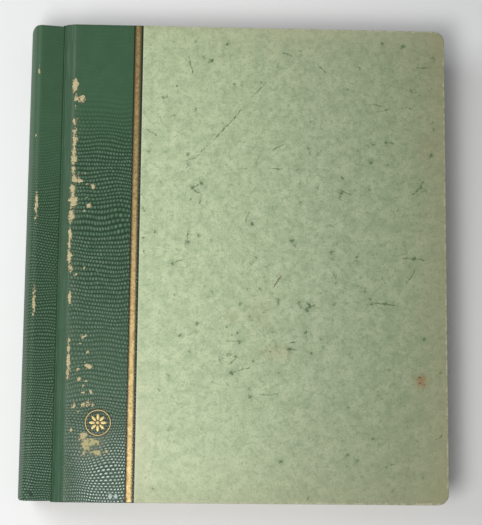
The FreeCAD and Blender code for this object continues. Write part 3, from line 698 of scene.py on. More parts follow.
# Wear that the photograph shows, as (pixels across, pixels down, half width, half height, strength), with the
# halves in millimetres
FRONT_FLAKES = from_photo((
    (75.2, 85.1, 2.2, 4.6, 0.86),
    (75.8, 98.7, 1.7, 2.6, 0.86),
    (83.3, 98.7, 2.2, 2.6, 0.78),
    (75.8, 106.6, 0.8, 2.2, 0.75),
    (74.7, 121.0, 1.7, 3.0, 0.74),
    (74.9, 130.4, 1.4, 3.0, 0.76),
    (75.0, 139.3, 2.3, 4.0, 0.88),
    (74.2, 149.5, 1.6, 3.6, 0.80),
    (74.2, 160.1, 1.9, 4.4, 0.86),
    (73.4, 171.2, 1.5, 3.5, 0.80),
    (74.6, 178.2, 2.4, 3.0, 0.84),
    (79.8, 181.1, 1.6, 1.4, 0.85),
    (72.6, 188.8, 2.0, 4.0, 0.82),
    (72.8, 201.0, 2.8, 4.5, 0.88),
    (71.0, 215.9, 1.9, 5.5, 0.76),
    (69.8, 233.4, 1.3, 5.5, 0.74),
    (69.1, 247.3, 1.1, 5.0, 0.72),
    (69.4, 257.4, 1.6, 4.0, 0.84),
    (71.0, 268.5, 1.9, 2.6, 0.82),
    (75.8, 274.9, 1.6, 0.9, 0.85),
    (93.1, 186.4, 1.8, 1.8, 0.90),
    (88.9, 205.5, 1.5, 1.4, 0.90),
    (87.0, 197.5, 0.8, 0.8, 0.85),
    (85.7, 172.8, 0.8, 0.8, 0.85),
    (86.8, 184.0, 0.8, 0.9, 0.85),
    (83.8, 211.1, 0.9, 1.0, 0.80),
    (84.6, 266.9, 0.9, 0.8, 0.85),
    (98.2, 271.7, 1.0, 0.8, 0.80),
    (69.5, 298.5, 1.0, 4.5, 0.85),
    (68.3, 358.2, 1.2, 15.0, 0.84),
    (84.0, 336.0, 1.4, 1.3, 0.88),
    (81.0, 344.0, 1.2, 1.2, 0.85),
    (87.0, 352.0, 1.3, 1.0, 0.85),
    (84.0, 361.0, 1.0, 1.2, 0.85),
    (88.7, 366.0, 2.4, 1.6, 0.86),
    (78.0, 370.0, 1.4, 1.4, 0.85),
    (79.3, 379.0, 1.5, 1.2, 0.86),
    (87.4, 381.2, 1.4, 0.8, 0.80),
    (83.5, 386.0, 1.2, 1.0, 0.82),
    (90.7, 392.0, 1.1, 1.4, 0.82),
    (82.9, 392.7, 1.3, 0.8, 0.80),
    (73.5, 405.6, 1.2, 2.2, 0.84),
    (83.0, 405.2, 1.6, 1.6, 0.84),
    (88.2, 402.9, 2.0, 1.8, 0.86),
    (92.5, 405.2, 1.4, 1.2, 0.82),
    (78.7, 411.2, 2.0, 0.9, 0.80),
    (104.5, 409.5, 1.0, 0.8, 0.80),
    (71.4, 429.7, 1.0, 1.6, 0.85),
    (83.3, 436.5, 2.5, 2.7, 0.92),
    (86.3, 444.1, 3.1, 3.4, 0.92),
    (92.6, 442.5, 2.8, 2.2, 0.88),
    (97.7, 443.0, 1.6, 1.6, 0.80),
    (83.9, 453.1, 1.2, 2.6, 0.78),
    (95.4, 452.4, 3.6, 2.2, 0.86),
    (106.3, 451.7, 1.4, 1.2, 0.76),
), COVER_FACE)
SPINE_FLAKES = from_photo((
    (39.5, 70.7, 0.9, 2.6, 0.82),
    (36.4, 135.8, 0.6, 0.9, 0.80),
    (36.9, 203.7, 1.2, 11.0, 0.72),
    (34.0, 300.1, 1.2, 11.0, 0.70),
), SPINE_FACE)
# Two broad scales in the quarter's tail corner, each painted with a highlight on its crown and shade round
# its rim, as (pixels across, pixels down, half width, half height)
BROAD_SCALES = from_photo((
    (110.1, 496.4, 1.25, 1.9),
    (115.7, 496.4, 1.3, 1.6),
), COVER_FACE)
# Broad wear on the front cover, as (x, y, half width, half height, strength) in millimetres from the album's
# middle
FRONT_RUBS = (
    (-83.5, -112.0, 8.0, 7.0, 1.0),
    (-98.5, 60.0, 3.0, 45.0, 0.25),
    (-98.5, -40.0, 3.0, 60.0, 0.2),
)
# On the spine: a painted highlight streak down its round near the tail, and a faint lighter line along that
# round towards the head
SPINE_HIGHLIGHT_AND_RUBS = (
    (-124.8, -88.0, 0.9, 30.0, 0.8),
    (-124.6, 40.0, 0.6, 60.0, 0.25),
)
# A fold near the spine's tail, drawn as a line of painted shade
SPINE_CREASES = (
    (-123.0, -139.0, -118.0, -142.5, 0.3, 1.3),
)
# Where the taller rows of scales give way to the tail's square ones
TAIL_SCALES = -88.0 * MM
BACK_FLAKES = (
    (-98.5, 92.0, 1.4, 14.0, 0.75),
    (-93.0, 20.0, 1.2, 1.0, 0.85),
    (-99.0, -70.0, 1.2, 18.0, 0.7),
)


def painted(points, spots):
    """How strongly soft spots cover each point: the strongest spot counts."""
    fade = 0.7
    amount = np.zeros(points.shape[:-1])
    for x, y, half_wide, half_high, strength in spots:
        off_x = (points[..., 0] - x * MM) / (half_wide * MM)
        off_y = (points[..., 1] - y * MM) / (half_high * MM)
        amount = np.maximum(amount, strength * np.exp(-fade * (off_x**2 + off_y**2)))
    return amount


# Leathercloth


def wrap_run(half, step):
    """A way from tail to head and round both edges: (share of the half height, 0 to 3 over the edge)."""
    flat = [(share, 0.0) for share in even_steps(-1, 1, step / half)]
    over = [stage + turn for stage in range(3) for turn in np.linspace(0, 1, 6)[1:]]
    return [(-1.0, amount) for amount in reversed(over)] + flat + [(1.0, amount) for amount in over]


def wrapped(share, over, half, inner_half, round_over, depth):
    """Where a point of a wrap lies, as (y, drop below the face).

    It goes over the edge, then down the side, then in along the inside to the inner half height.
    """
    sign = 1.0 if share >= 0 else -1.0
    y, drop = share * (half - round_over), 0.0
    if over > 0:
        turn = min(over, 1.0) * math.pi / 2
        y = sign * (half - round_over + round_over * math.sin(turn))
        drop = round_over * (1 - math.cos(turn))
    if over > 1:
        turn = min(over - 1, 1.0)
        drop = round_over + (depth - 2 * round_over) * turn
    if over > 2:
        turn = over - 2
        bend = min(turn * 2, 1.0) * math.pi / 2
        y = sign * (half - round_over + round_over * math.cos(bend))
        drop = depth - round_over + round_over * math.sin(bend)
        if turn > 0.5:
            y = sign * (half - round_over + (inner_half - half + round_over) * (turn - 0.5) * 2)
    return y, drop


# The joint's section from the spine's lip to the board, as (distance from the lip, depth below the cloth's
# face) in millimetres
JOINT_SECTION = (
    (0.0, 3.20),
    (0.5, 3.75),
    (1.1, 3.60),
    (1.8, 2.50),
    (3.2, 1.75),
    (5.0, 1.15),
    (6.2, 0.60),
    (7.2, 0.12),
    (8.6, 0.0),
)
JOINT_LINE = eased(JOINT_SECTION) * MM
JOINT_HEM = 1.0 * MM
# Where the cover's scales set in, calm down, rise again and take painted glints, measured down from the
# middle
GRAIN_SETS_IN = (-106 * MM, -56 * MM)
GRAIN_CALMS = (10 * MM, 60 * MM)
GRAIN_RISES = (76 * MM, 100 * MM)
GRAIN_GLINTS_PAINTED = (92 * MM, 126 * MM)
GLINTS_PAINTED_ACROSS = (-100 * MM, -82 * MM)
# The same for the spine
SPINE_SETS_IN = (-90 * MM, -10 * MM)
SPINE_GLINTS_PAINTED = (50 * MM, 130 * MM)


def cloth_place(x):
    """How far along the cover's leathercloth a place on its flat part is, measured from the spine's lip."""
    return float(run_length(JOINT_LINE)[-1] + x - SPINE_HIGH.x - JOINT_LINE[-1, 0])


def cover_leather(side, finish, flakes, rubs):
    """The leathercloth of a cover: from the spine's lip, over the board's edge and across the quarter."""
    face = QUARTER_HIGH.z
    joint = np.stack([SPINE_HIGH.x + JOINT_LINE[:, 0], face - JOINT_LINE[:, 1]], axis=1)
    flat_x = even_steps(joint[-1, 0], QUARTER_HIGH.x, CLOTH_STEP)[1:]
    line = np.concatenate([joint, np.stack([flat_x, np.full_like(flat_x, face)], axis=1)])
    far = run_length(line)
    path = wrap_run(QUARTER_HIGH.y, CLOTH_STEP)
    board_starts = (BOARD_LOW.x - 1.5 * MM, BOARD_LOW.x + 1.0 * MM)
    pressing_ends = (BOARD_LOW.x - 2 * MM, BOARD_LOW.x + 3 * MM)
    points = np.zeros((len(line), len(path), 3))
    uv = np.zeros((len(line), len(path), 2))
    for i, (x, z) in enumerate(line):
        on_board = float(smooth(x, *board_starts))
        depth = JOINT_HEM + (QUARTER_HIGH.z - QUARTER_LOW.z - JOINT_HEM) * on_board
        round_over = min(EDGE_ROUND, depth * 0.45)
        for j, (share, over) in enumerate(path):
            y, drop = wrapped(share, over, QUARTER_HIGH.y, PASTE_HIGH.y, round_over, depth)
            points[i, j] = (x, y, z - drop)
            uv[i, j] = (far[i], y + math.copysign(drop, share))
    top = (np.array([over for _, over in path]) < 2)[None, :]
    # The joint band, where the grain is pressed flat and shade is painted
    pressed_and_shaded = 1 - smooth(points[..., 0], *pressing_ends)
    down = -points[..., 1]
    calm = smooth(down, *GRAIN_CALMS) * (1 - smooth(down, *GRAIN_RISES))
    grain = 0.06 + 0.94 * smooth(down, *GRAIN_SETS_IN)
    marks = {
        "wear": painted(points, flakes) * top,
        "rubbed": painted(points, rubs) * top,
        "grain": grain * (1 - 0.95 * pressed_and_shaded) * (1 - 0.38 * calm),
        "painted_glints": smooth(down, *GRAIN_GLINTS_PAINTED) * smooth(points[..., 0], *GLINTS_PAINTED_ACROSS) * top,
        "pressed_and_shaded": pressed_and_shaded,
    }
    return sheet(f"{side}_leather", points, uv, marks, CLOTH_THICK, finish, mirrored=side == "back")


def arc(centre, radius, start, end, count):
    """Points along a round stretch, between two angles."""
    angles = np.linspace(start, end, count)
    return centre + radius * np.stack([np.cos(angles), np.sin(angles)], axis=1)


def spine_outline(inset):
    """The spine's section at a depth below its surface, from the back cover's lip round to the front's."""
    half = MID_Z - SHOULDER_DROP
    mouth_half = MID_Z - MOUTH_DROP
    width = SPINE_HIGH.x - SPINE_LOW.x
    back = (BACK_BULGE**2 + half**2) / (2 * BACK_BULGE)
    lean = math.atan2(half - mouth_half, width - BACK_BULGE)
    shoulder = SHOULDER_ROUND - inset
    lip = np.array([width, mouth_half - inset / math.cos(lean)])
    towards_back = np.array([-math.cos(lean), math.sin(lean)])
    out_of_lip = np.array([math.sin(lean), math.cos(lean)])
    below = lip - out_of_lip * shoulder - np.array([back, 0.0])
    run = below @ towards_back
    reach = math.sqrt(run**2 - below @ below + (back - inset - shoulder) ** 2) - run
    centre = lip - out_of_lip * shoulder + towards_back * reach
    back_turn = math.atan2(centre[1], centre[0] - back)
    lip_turn = math.pi / 2 - lean
    lip_line = [lip + (centre + out_of_lip * shoulder - lip) * share for share in np.linspace(0, 1, 9)]
    bend = arc(centre, shoulder, lip_turn, back_turn, 10)
    curve = arc(np.array([back, 0.0]), back - inset, back_turn, math.pi, 14)
    upper = np.concatenate([lip_line, bend[1:], curve[1:]])
    lower = upper[-2::-1] * np.array([1.0, -1.0])
    return np.concatenate([upper, lower])[::-1] + np.array([SPINE_LOW.x, MID_Z])


def spine_leather(finish):
    """The leathercloth round the spine, rounded at its ends and turned in over the tube."""
    end_round = 0.7 * MM
    head_corner, tail_corner = 3.4 * MM, 2.2 * MM
    corner_reach = 12 * MM
    half = SPINE_HIGH.y
    wall, tuck = 1.2 * MM, 0.02 * MM
    rings = [(0.0, share * (half - end_round)) for share in even_steps(-1, 1, CLOTH_STEP / half)]
    over = np.linspace(0.3, 1.5, 5)
    turn_over = [(end_round * (1 - math.cos(a)), half - end_round * (1 - math.sin(a))) for a in over]
    turn_over += [(wall, half), (wall + tuck, half - SPINE_TURN_IN)]
    rings = [(inset, -y) for inset, y in reversed(turn_over)] + rings + turn_over
    outer = spine_outline(0.0)
    around = run_length(outer)
    points = np.zeros((len(outer), len(rings), 3))
    uv = np.zeros((len(outer), len(rings), 2))
    for j, (inset, y) in enumerate(rings):
        radius = head_corner if y > 0 else tail_corner
        near_end = float(smooth(abs(y), half - corner_reach, half))
        for i, (x, z) in enumerate(spine_outline(inset)):
            off = np.clip(1 - (outer[i, 0] - SPINE_LOW.x) / radius, 0, 1)
            pulled = radius * (1 - math.sqrt(1 - off**2)) * near_end
            points[i, j] = (x, y - math.copysign(pulled, y), z)
            uv[i, j] = (around[i], y)
    front = (np.arange(len(outer)) > len(outer) // 2)[:, None]
    down = -points[..., 1]
    marks = {
        "wear": painted(points, SPINE_FLAKES) * front,
        "rubbed": painted(points, SPINE_HIGHLIGHT_AND_RUBS) * front,
        "grain": 0.14 + 0.86 * smooth(down, *SPINE_SETS_IN),
        # Faint painted glints towards the spine's tail
        "painted_glints": 0.20 * smooth(down, *SPINE_GLINTS_PAINTED),
        "pressed_and_shaded": np.zeros(points.shape[:2]),
    }
    return sheet("spine_leather", points, uv, marks, CLOTH_THICK, finish)


# Marbled paper

PAPER_LAP = 4.6 * MM
LAP_STEP = 0.12 * MM
# Clusters of veins, as (x, y, half width, half height, strength) in millimetres from the album's middle
VEIN_CLUSTERS = (
    (-24.0, 42.0, 7.0, 6.0, 0.16),
    (66.0, 43.0, 7.0, 6.0, 0.14),
    (36.0, 13.0, 6.0, 4.0, 0.14),
    (44.0, -25.0, 7.0, 6.0, 0.16),
    (63.0, -13.0, 5.0, 5.0, 0.12),
    (106.0, 6.0, 8.0, 6.0, 0.16),
    (33.0, -52.0, 9.0, 5.0, 0.16),
    (116.0, 120.0, 8.0, 14.0, 0.16),
    (-5.0, -62.0, 7.0, 9.0, 0.14),
    (14.0, -34.0, 16.0, 14.0, 0.12),
)
# Threads that the photograph shows, as (start across, start down, end across, end down, bow, width), and
# knots, as (across, down): places in pixels, and bow and width in millimetres
DRAWN_THREADS = from_photo((
    (245.1, 105.6, 211.4, 142.3, 0.3, 0.60),
    (211.4, 142.3, 200.2, 153.1, -0.3, 0.50),
    (200.2, 153.6, 188.0, 159.2, 1.0, 0.60),
    (267.6, 80.1, 250.2, 97.4, 0.6, 0.50),
    (188.0, 55.6, 193.1, 75.0, 0.3, 0.65),
    (208.4, 63.3, 214.0, 58.2, -0.4, 0.95),
    (281.8, 52.6, 293.1, 57.7, 0.6, 0.60),
    (255.3, 165.8, 261.4, 154.1, 0.6, 0.50),
    (271.6, 151.5, 285.9, 143.4, 0.3, 0.55),
    (269.1, 168.4, 283.9, 169.4, 0.1, 0.65),
    (236.4, 168.9, 248.2, 167.9, -0.3, 0.50),
    (144.1, 129.1, 158.4, 137.8, 0.8, 0.50),
    (192.0, 187.7, 202.2, 183.1, 0.4, 0.75),
    (201.2, 193.3, 198.2, 204.5, 0.5, 0.70),
    (189.0, 201.4, 193.1, 196.3, 0.2, 0.60),
    (189.5, 229.0, 185.9, 245.3, -0.6, 0.70),
    (249.7, 210.6, 245.6, 223.9, -0.5, 0.60),
    (174.7, 262.7, 181.8, 260.1, 0.3, 0.60),
    (192.6, 188.2, 201.2, 193.3, -0.6, 0.60),
    (317.2, 63.0, 326.3, 73.0, -0.5, 0.60),
    (364.1, 104.6, 382.3, 106.5, 0.3, 0.65),
    (376.5, 111.8, 389.9, 108.9, -0.3, 0.65),
    (400.4, 108.0, 413.4, 108.9, 0.3, 0.50),
    (415.8, 67.3, 432.0, 67.3, -0.5, 0.70),
    (337.8, 190.2, 352.6, 195.3, 0.3, 0.70),
    (424.5, 180.0, 410.7, 196.8, 0.6, 0.70),
    (401.0, 258.6, 426.5, 260.6, 0.3, 0.75),
    (415.8, 267.8, 405.6, 284.1, 0.6, 0.65),
    (381.6, 275.9, 386.2, 284.1, -0.5, 0.65),
    (371.4, 303.5, 400.0, 306.5, 0.5, 0.60),
    (304.1, 310.6, 316.3, 304.0, 0.4, 0.80),
    (306.1, 301.4, 311.2, 305.5, -0.3, 0.70),
    (237.1, 355.7, 228.7, 365.1, 0.4, 0.80),
    (231.5, 373.5, 251.6, 367.4, 0.6, 0.60),
    (286.2, 349.5, 298.4, 350.1, 0.3, 0.80),
    (287.3, 343.4, 296.2, 341.7, 0.3, 0.70),
    (225.9, 341.2, 240.4, 341.2, 0.3, 0.60),
    (258.3, 394.7, 279.5, 393.6, -0.4, 0.45),
    (306.7, 500.7, 310.6, 496.3, 0.4, 0.80),
    (435.6, 439.4, 442.3, 433.8, -0.6, 0.70),
    (385.4, 466.1, 396.5, 465.9, 0.3, 0.60),
), COVER_FACE, places=2)
LARGE_KNOTS = from_photo((
    (211.9, 60.2), (227.8, 44.4), (192.6, 188.2), (201.7, 183.6), (154.8, 231.5), (188.0, 242.2),
    (172.7, 264.7), (252.2, 224.1), (292.0, 240.7), (341.6, 193.3), (331.6, 252.1), (356.6, 256.7),
    (357.1, 261.1), (414.3, 259.1), (309.7, 306.0), (307.1, 310.4), (420.4, 187.7), (371.9, 304.0),
    (385.7, 304.0), (239.9, 341.7), (231.5, 373.5), (249.9, 396.9), (280.6, 462.2), (289.5, 349.5),
    (305.0, 332.2), (311.2, 353.4), (423.9, 340.0), (382.3, 43.9), (370.8, 162.5), (431.1, 155.3),
    (386.6, 141.9),
), COVER_FACE)
SMALL_KNOTS = from_photo((
    (204.3, 57.7), (148.7, 151.5), (188.0, 154.8), (261.4, 82.7), (297.7, 169.4), (256.3, 258.1),
    (295.1, 246.3), (277.8, 299.4), (211.9, 291.2), (198.2, 235.1), (357.9, 151.0), (420.1, 95.5),
    (373.2, 144.3), (308.1, 148.6), (433.5, 129.5), (387.5, 165.8), (335.2, 283.3), (370.4, 298.6),
    (189.1, 351.8), (168.5, 375.7), (248.8, 388.6), (235.4, 356.2), (153.4, 488.4), (278.4, 373.0),
    (276.1, 345.6), (195.8, 332.2), (324.6, 411.5), (373.1, 439.4), (356.9, 461.1), (386.5, 467.3),
    (392.6, 491.2), (423.3, 477.9), (389.3, 370.2), (327.4, 342.8),
), COVER_FACE)
RUST_THREADS = from_photo((
    (272.7, 287.7, 281.8, 275.9, 0.2, 0.60),
), COVER_FACE, places=2)
RUST_KNOTS = from_photo((
    (263.5, 277.4), (263.5, 312.7), (143.9, 210.6), (143.6, 237.7), (143.6, 251.4), (237.1, 332.8),
    (270.5, 351.2), (420.5, 377.4), (420.0, 383.6), (424.4, 384.7),
), COVER_FACE)
# Warm stains, as the clusters are given: a spot near the fore-edge and a scatter in the middle
STAINS = (
    (112.8, -72.6, 2.6, 2.8, 0.78),
    (-1.5, -35.0, 3.0, 3.0, 0.16),
    (25.0, -56.0, 9.0, 4.0, 0.16),
    (14.0, -34.0, 9.0, 9.0, 0.08),
    (118.0, 70.0, 4.0, 6.0, 0.14),
)
# Places made pale: painted light beside the gilt rule's tail, a worn pale edge along the head, and painted
# light broadly in the tail corner
PALE_AND_LIT_PLACES = (
    (-66.0, -114.0, 14.0, 32.0, 0.62),
    (70.0, 146.0, 72.0, 7.0, 0.20),
    (-36.0, -128.0, 40.0, 26.0, 0.13),
)


def paper_side(side, finish):
    """The marbled paper of one cover, rolled over its three outer edges and turned in to the pastedown."""
    left, right, half = PAPER_LOW.x, PAPER_HIGH.x, PAPER_HIGH.y
    flat_right, flat_half = right - EDGE_ROUND, half - EDGE_ROUND
    bend = CORNER_ROUND - EDGE_ROUND
    ends = bend * np.linspace(0, 1, 8)[1:]
    lap_end = left + PAPER_LAP
    hem, step_half, ease, clear = 0.4 * MM, 0.5 * MM, 0.6 * MM, 2 * MM
    xs = np.concatenate([
        [left, left + hem, lap_end - step_half, lap_end + step_half],
        even_steps(lap_end + clear, flat_right - bend, PAPER_STEP),
        flat_right - bend + ends,
    ])
    middle = even_steps(-flat_half + bend, flat_half - bend, PAPER_STEP)
    ys = np.concatenate([-(flat_half - bend) - ends[::-1], middle, flat_half - bend + ends])
    grid = np.zeros((len(xs), len(ys), 3))
    for i, x in enumerate(xs):
        for j, y in enumerate(ys):
            a = max(0.0, (x - flat_right + bend) / bend)
            b = max(0.0, (abs(y) - flat_half + bend) / bend)
            round_x, round_y = a * math.sqrt(1 - b * b / 2), b * math.sqrt(1 - a * a / 2)
            place_x = x if a == 0 else flat_right - bend + bend * round_x
            place_y = y if b == 0 else math.copysign(flat_half - bend + bend * round_y, y)
            off_lap = float(smooth(x, lap_end - ease, lap_end + ease))
            grid[i, j] = (place_x, place_y, PAPER_HIGH.z - LAP_STEP * off_lap)
    points, faces = turned_in(grid)
    if side == "back":
        points[:, 2] = 2 * MID_Z - points[:, 2]
        faces = [face[::-1] for face in faces]
    mesh = bpy.data.meshes.new(f"{side}_marbled_paper")
    mesh.from_pydata(points.tolist(), [], faces)
    return walled(mesh, paper_marks(side, points), PAPER_THICK, finish)


def paper_section():
    """How the paper goes round the board's edge: (how far out from the flat, drop below the face)."""
    depth = PAPER_HIGH.z - PAPER_LOW.z
    turns = np.linspace(0, math.pi / 2, 5)
    upper = [(EDGE_ROUND * math.sin(a), EDGE_ROUND * (1 - math.cos(a))) for a in turns[1:]]
    lower = [(EDGE_ROUND * math.cos(a), depth - EDGE_ROUND * (1 - math.sin(a))) for a in turns]
    return upper + [(EDGE_ROUND, depth / 2)] + lower


def turned_in(grid):
    """The points and faces of a paper side: its flat grid, the rings round its edge and the turn-in."""
    rows, columns = grid.shape[:2]
    faces = grid_faces(rows, columns).tolist()
    points = grid.reshape(-1, 3).tolist()
    rim = [(i, 0) for i in range(rows)] + [(rows - 1, j) for j in range(1, columns)]
    rim += [(i, columns - 1) for i in range(rows - 2, -1, -1)]
    corner_x, corner_y = PAPER_HIGH.x - CORNER_ROUND, PAPER_HIGH.y - CORNER_ROUND
    rim_places = [grid[spot] for spot in rim]
    outwards = []
    for (i, j), (x, y, _) in zip(rim, rim_places):
        outward = np.array([max(0.0, x - corner_x), math.copysign(max(0.0, abs(y) - corner_y), y)])
        if j in (0, columns - 1) and x <= corner_x:
            outward = np.array([0.0, math.copysign(1.0, y)])
        elif i == rows - 1 and abs(y) <= corner_y:
            outward = np.array([1.0, 0.0])
        outwards.append(outward / np.linalg.norm(outward))
    rings = [
        [
            (x + away_x * out, y + away_y * out, min(z, PAPER_HIGH.z - drop))
            for (x, y, z), (away_x, away_y) in zip(rim_places, outwards)
        ]
        for out, drop in paper_section()
    ]
    rings.append([
        (min(x, PASTE_HIGH.x), float(np.clip(y, PASTE_LOW.y, PASTE_HIGH.y)), PAPER_LOW.z)
        for x, y, _ in rim_places
    ])
    ring = [i * columns + j for i, j in rim]
    for places in rings:
        new_ring = list(range(len(points), len(points) + len(places)))
        points.extend(places)
        faces.extend(zip(ring, new_ring, new_ring[1:], ring[1:]))
        ring = new_ring
    return np.array(points), faces


def paper_marks(side, points):
    """Where a paper side is toned, veined and stained, where painted shade darkens it towards the fore-edge,
    and where painted light and a worn head edge make it pale.
    """
    x, y = points[:, 0], points[:, 1]
    to_head, to_tail, to_fore = PAPER_HIGH.y - y, PAPER_HIGH.y + y, PAPER_HIGH.x - x
    end_reach, fore_reach = 9 * MM, 14 * MM
    toned = 0.16 * np.exp(-to_head / end_reach) + 0.26 * np.exp(-to_tail / end_reach)
    toned += 0.55 * np.exp(-to_fore / fore_reach) + 0.10 * smooth(y, 40 * MM, PAPER_HIGH.y)
    toned += 0.12 * smooth(-y, 50 * MM, 140 * MM) * smooth(x, -30 * MM, 60 * MM)
    # Painted shade towards the fore-edge, deepening towards the tail
    shaded = smooth(x, -60 * MM, 140 * MM) * (0.94 + 0.20 * smooth(-y, -20 * MM, 140 * MM))
    clusters, stains = (VEIN_CLUSTERS, STAINS) if side == "front" else (VEIN_CLUSTERS[4:], STAINS[3:])
    return {
        "toned": np.clip(toned, 0, 0.95),
        "shaded": np.clip(shaded, 0, 1),
        "veins": painted(points, clusters),
        "stain": painted(points, stains),
        "faded_and_lit": painted(points, PALE_AND_LIT_PLACES),
    }


def gilt_rule(side, finish):
    """The gold line along the quarter, carried over the head and the tail."""
    width = RULE_HIGH.x - RULE_LOW.x
    across = np.linspace(0, 1, 9)
    path = [(share, over) for share, over in wrap_run(QUARTER_HIGH.y, CLOTH_STEP) if over <= 2]
    points = np.zeros((len(across), len(path), 3))
    uv = np.zeros((len(across), len(path), 2))
    depth = QUARTER_HIGH.z - QUARTER_LOW.z
    for i, share_x in enumerate(across):
        crown = FOIL_RISE * (1 - abs(2 * share_x - 1) ** 4)
        for j, (share, over) in enumerate(path):
            y, drop = wrapped(share, over, QUARTER_HIGH.y + crown, PASTE_HIGH.y, EDGE_ROUND, depth)
            points[i, j] = (RULE_LOW.x + width * share_x, y, QUARTER_HIGH.z + crown - drop)
            uv[i, j] = (width * share_x, y)
    edges = smooth(np.abs(2 * across - 1), 0.45, 0.95)[:, None]
    # Painted shade: the gilt made browner towards the head, where it would reflect a dimmer room
    painted_head_shade = smooth(points[..., 1], -130 * MM, 150 * MM)
    marks = {"brown_and_shaded": np.clip(0.22 + 0.50 * edges + 0.30 * painted_head_shade, 0, 1)}
    return sheet(f"{side}_gilt_line", points, uv, marks, FOIL_THICK, finish, mirrored=side == "back")


# Node trees for what repeats


class Growth:
    """A Geometry Nodes tree in the making."""

    def __init__(self, name, **inputs):
        self.tree = bpy.data.node_groups.new(name, "GeometryNodeTree")
        for label, kind in inputs.items():
            self.tree.interface.new_socket(label, in_out="INPUT", socket_type=f"NodeSocket{kind}")
        self.tree.interface.new_socket("Geometry", in_out="OUTPUT", socket_type="NodeSocketGeometry")
        self.given = self.tree.nodes.new("NodeGroupInput").outputs

    def node(self, kind, inputs=(), **settings):
        made = self.tree.nodes.new(kind)
        for setting, value in settings.items():
            setattr(made, setting, value)
        for socket, value in dict(inputs).items():
            values = value if isinstance(value, list) else [value]
            for one in values:
                if isinstance(one, bpy.types.NodeSocket):
                    self.tree.links.new(one, made.inputs[socket])
                else:
                    made.inputs[socket].default_value = one
        return made.outputs[0]

    def done(self, geometry, finish):
        whole = self.node("GeometryNodeRealizeInstances", {0: geometry})
        dressed = self.node("GeometryNodeSetMaterial", {"Geometry": whole, "Material": finish})
        out = self.tree.nodes.new("NodeGroupOutput")
        self.tree.links.new(dressed, out.inputs["Geometry"])
        return self.tree


def grown(name, tree, **inputs):
    """A plain mesh that a node tree makes from the values given for its named inputs."""
    piece = bpy.data.objects.new(name, bpy.data.meshes.new(name))
    SCENE.collection.objects.link(piece)
    growth = piece.modifiers.new("growth", "NODES")
    growth.node_group = tree
    for socket in tree.interface.items_tree:
        if socket.in_out == "INPUT" and socket.name in inputs:
            growth[socket.identifier] = inputs[socket.name]
    plain_mesh(piece)
    return piece


def linen_strip_tree():
    """A linen strip that leaves a guard level and meets its leaf level, with a soft bend at each end."""
    level_share = (0.45, 0.0, 0.0)
    strip = Growth(
        "linen_strip", Guard="Vector", Leaf="Vector", Height="Float", Thickness="Float", Finish="Material",
    )
    guard, leaf = strip.given["Guard"], strip.given["Leaf"]
    run = strip.node("ShaderNodeVectorMath", {0: leaf, 1: guard}, operation="SUBTRACT")
    reach = strip.node("ShaderNodeVectorMath", {0: run, 1: level_share}, operation="MULTIPLY")
    leaving = strip.node("ShaderNodeVectorMath", {0: guard, 1: reach}, operation="ADD")
    meeting = strip.node("ShaderNodeVectorMath", {0: leaf, 1: reach}, operation="SUBTRACT")
    way = strip.node(
        "GeometryNodeCurvePrimitiveBezierSegment",
        {"Start": guard, "Start Handle": leaving, "End Handle": meeting, "End": leaf, "Resolution": 14},
    )
    level = strip.node("GeometryNodeSetCurveNormal", {"Curve": way}, mode="Z_UP")
    section = strip.node(
        "GeometryNodeCurvePrimitiveQuadrilateral",
        {"Width": strip.given["Height"], "Height": strip.given["Thickness"]},
    )
    tube = strip.node(
        "GeometryNodeCurveToMesh", {"Curve": level, "Profile Curve": section, "Fill Caps": True},
    )
    return strip.done(tube, strip.given["Finish"])


def rosette_tree():
    """A raised ring round a rosette of domed petals and a centre bead."""
    pressed_flat = (1.0, 1.0, 0.35)
    rosette = Growth(
        "emblem_rosette", Ring="Float", Line="Float", Petals="Int", Petal="Vector", Reach="Float",
        Bead="Vector", Place="Vector", Finish="Material",
    )
    given = rosette.given
    circle = "GeometryNodeCurvePrimitiveCircle"
    ring_way = rosette.node(circle, {"Resolution": 72, "Radius": given["Ring"]})
    ring_line = rosette.node(circle, {"Resolution": 10, "Radius": given["Line"]})
    ring = rosette.node("GeometryNodeCurveToMesh", {"Curve": ring_way, "Profile Curve": ring_line})
    low_ring = rosette.node("GeometryNodeTransform", {"Geometry": ring, "Scale": pressed_flat})
    spots = rosette.node("GeometryNodeMeshCircle", {"Vertices": given["Petals"], "Radius": given["Reach"]})
    ball = rosette.node("GeometryNodeMeshUVSphere", {"Segments": 16, "Rings": 8, "Radius": 1.0})
    petal = rosette.node("GeometryNodeTransform", {"Geometry": ball, "Scale": given["Petal"]})
    outwards = rosette.node("GeometryNodeInputPosition")
    turn = rosette.node("FunctionNodeAlignEulerToVector", {"Vector": outwards}, axis="X")
    petals = rosette.node(
        "GeometryNodeInstanceOnPoints", {"Points": spots, "Instance": petal, "Rotation": turn},
    )
    bead = rosette.node("GeometryNodeTransform", {"Geometry": ball, "Scale": given["Bead"]})
    whole = rosette.node("GeometryNodeJoinGeometry", {"Geometry": [low_ring, petals, bead]})
    placed = rosette.node("GeometryNodeTransform", {"Geometry": whole, "Translation": given["Place"]})
    return rosette.done(placed, given["Finish"])


def leaf_linens(finish):
    """One linen strip for each leaf, bending between the gripped guards and the leaf."""
    tree = linen_strip_tree()
    for number, leaf in enumerate(LEAVES):
        low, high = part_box(leaf)
        guard_x, _, guard_z = TURN_LINES[leaf]
        start = (guard_x, 0.0, guard_z)
        end = (low.x, 0.0, (low.z + high.z) / 2)
        strip = grown(
            leaf + "_linen", tree, Guard=start, Leaf=end, Height=high.y - low.y, Thickness=LINEN_THICK,
            Finish=finish,
        )
        soft_shaded(strip)
        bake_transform(strip)
        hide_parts("front_leaf_linens" if number < len(LEAVES) // 2 else "back_leaf_linens")


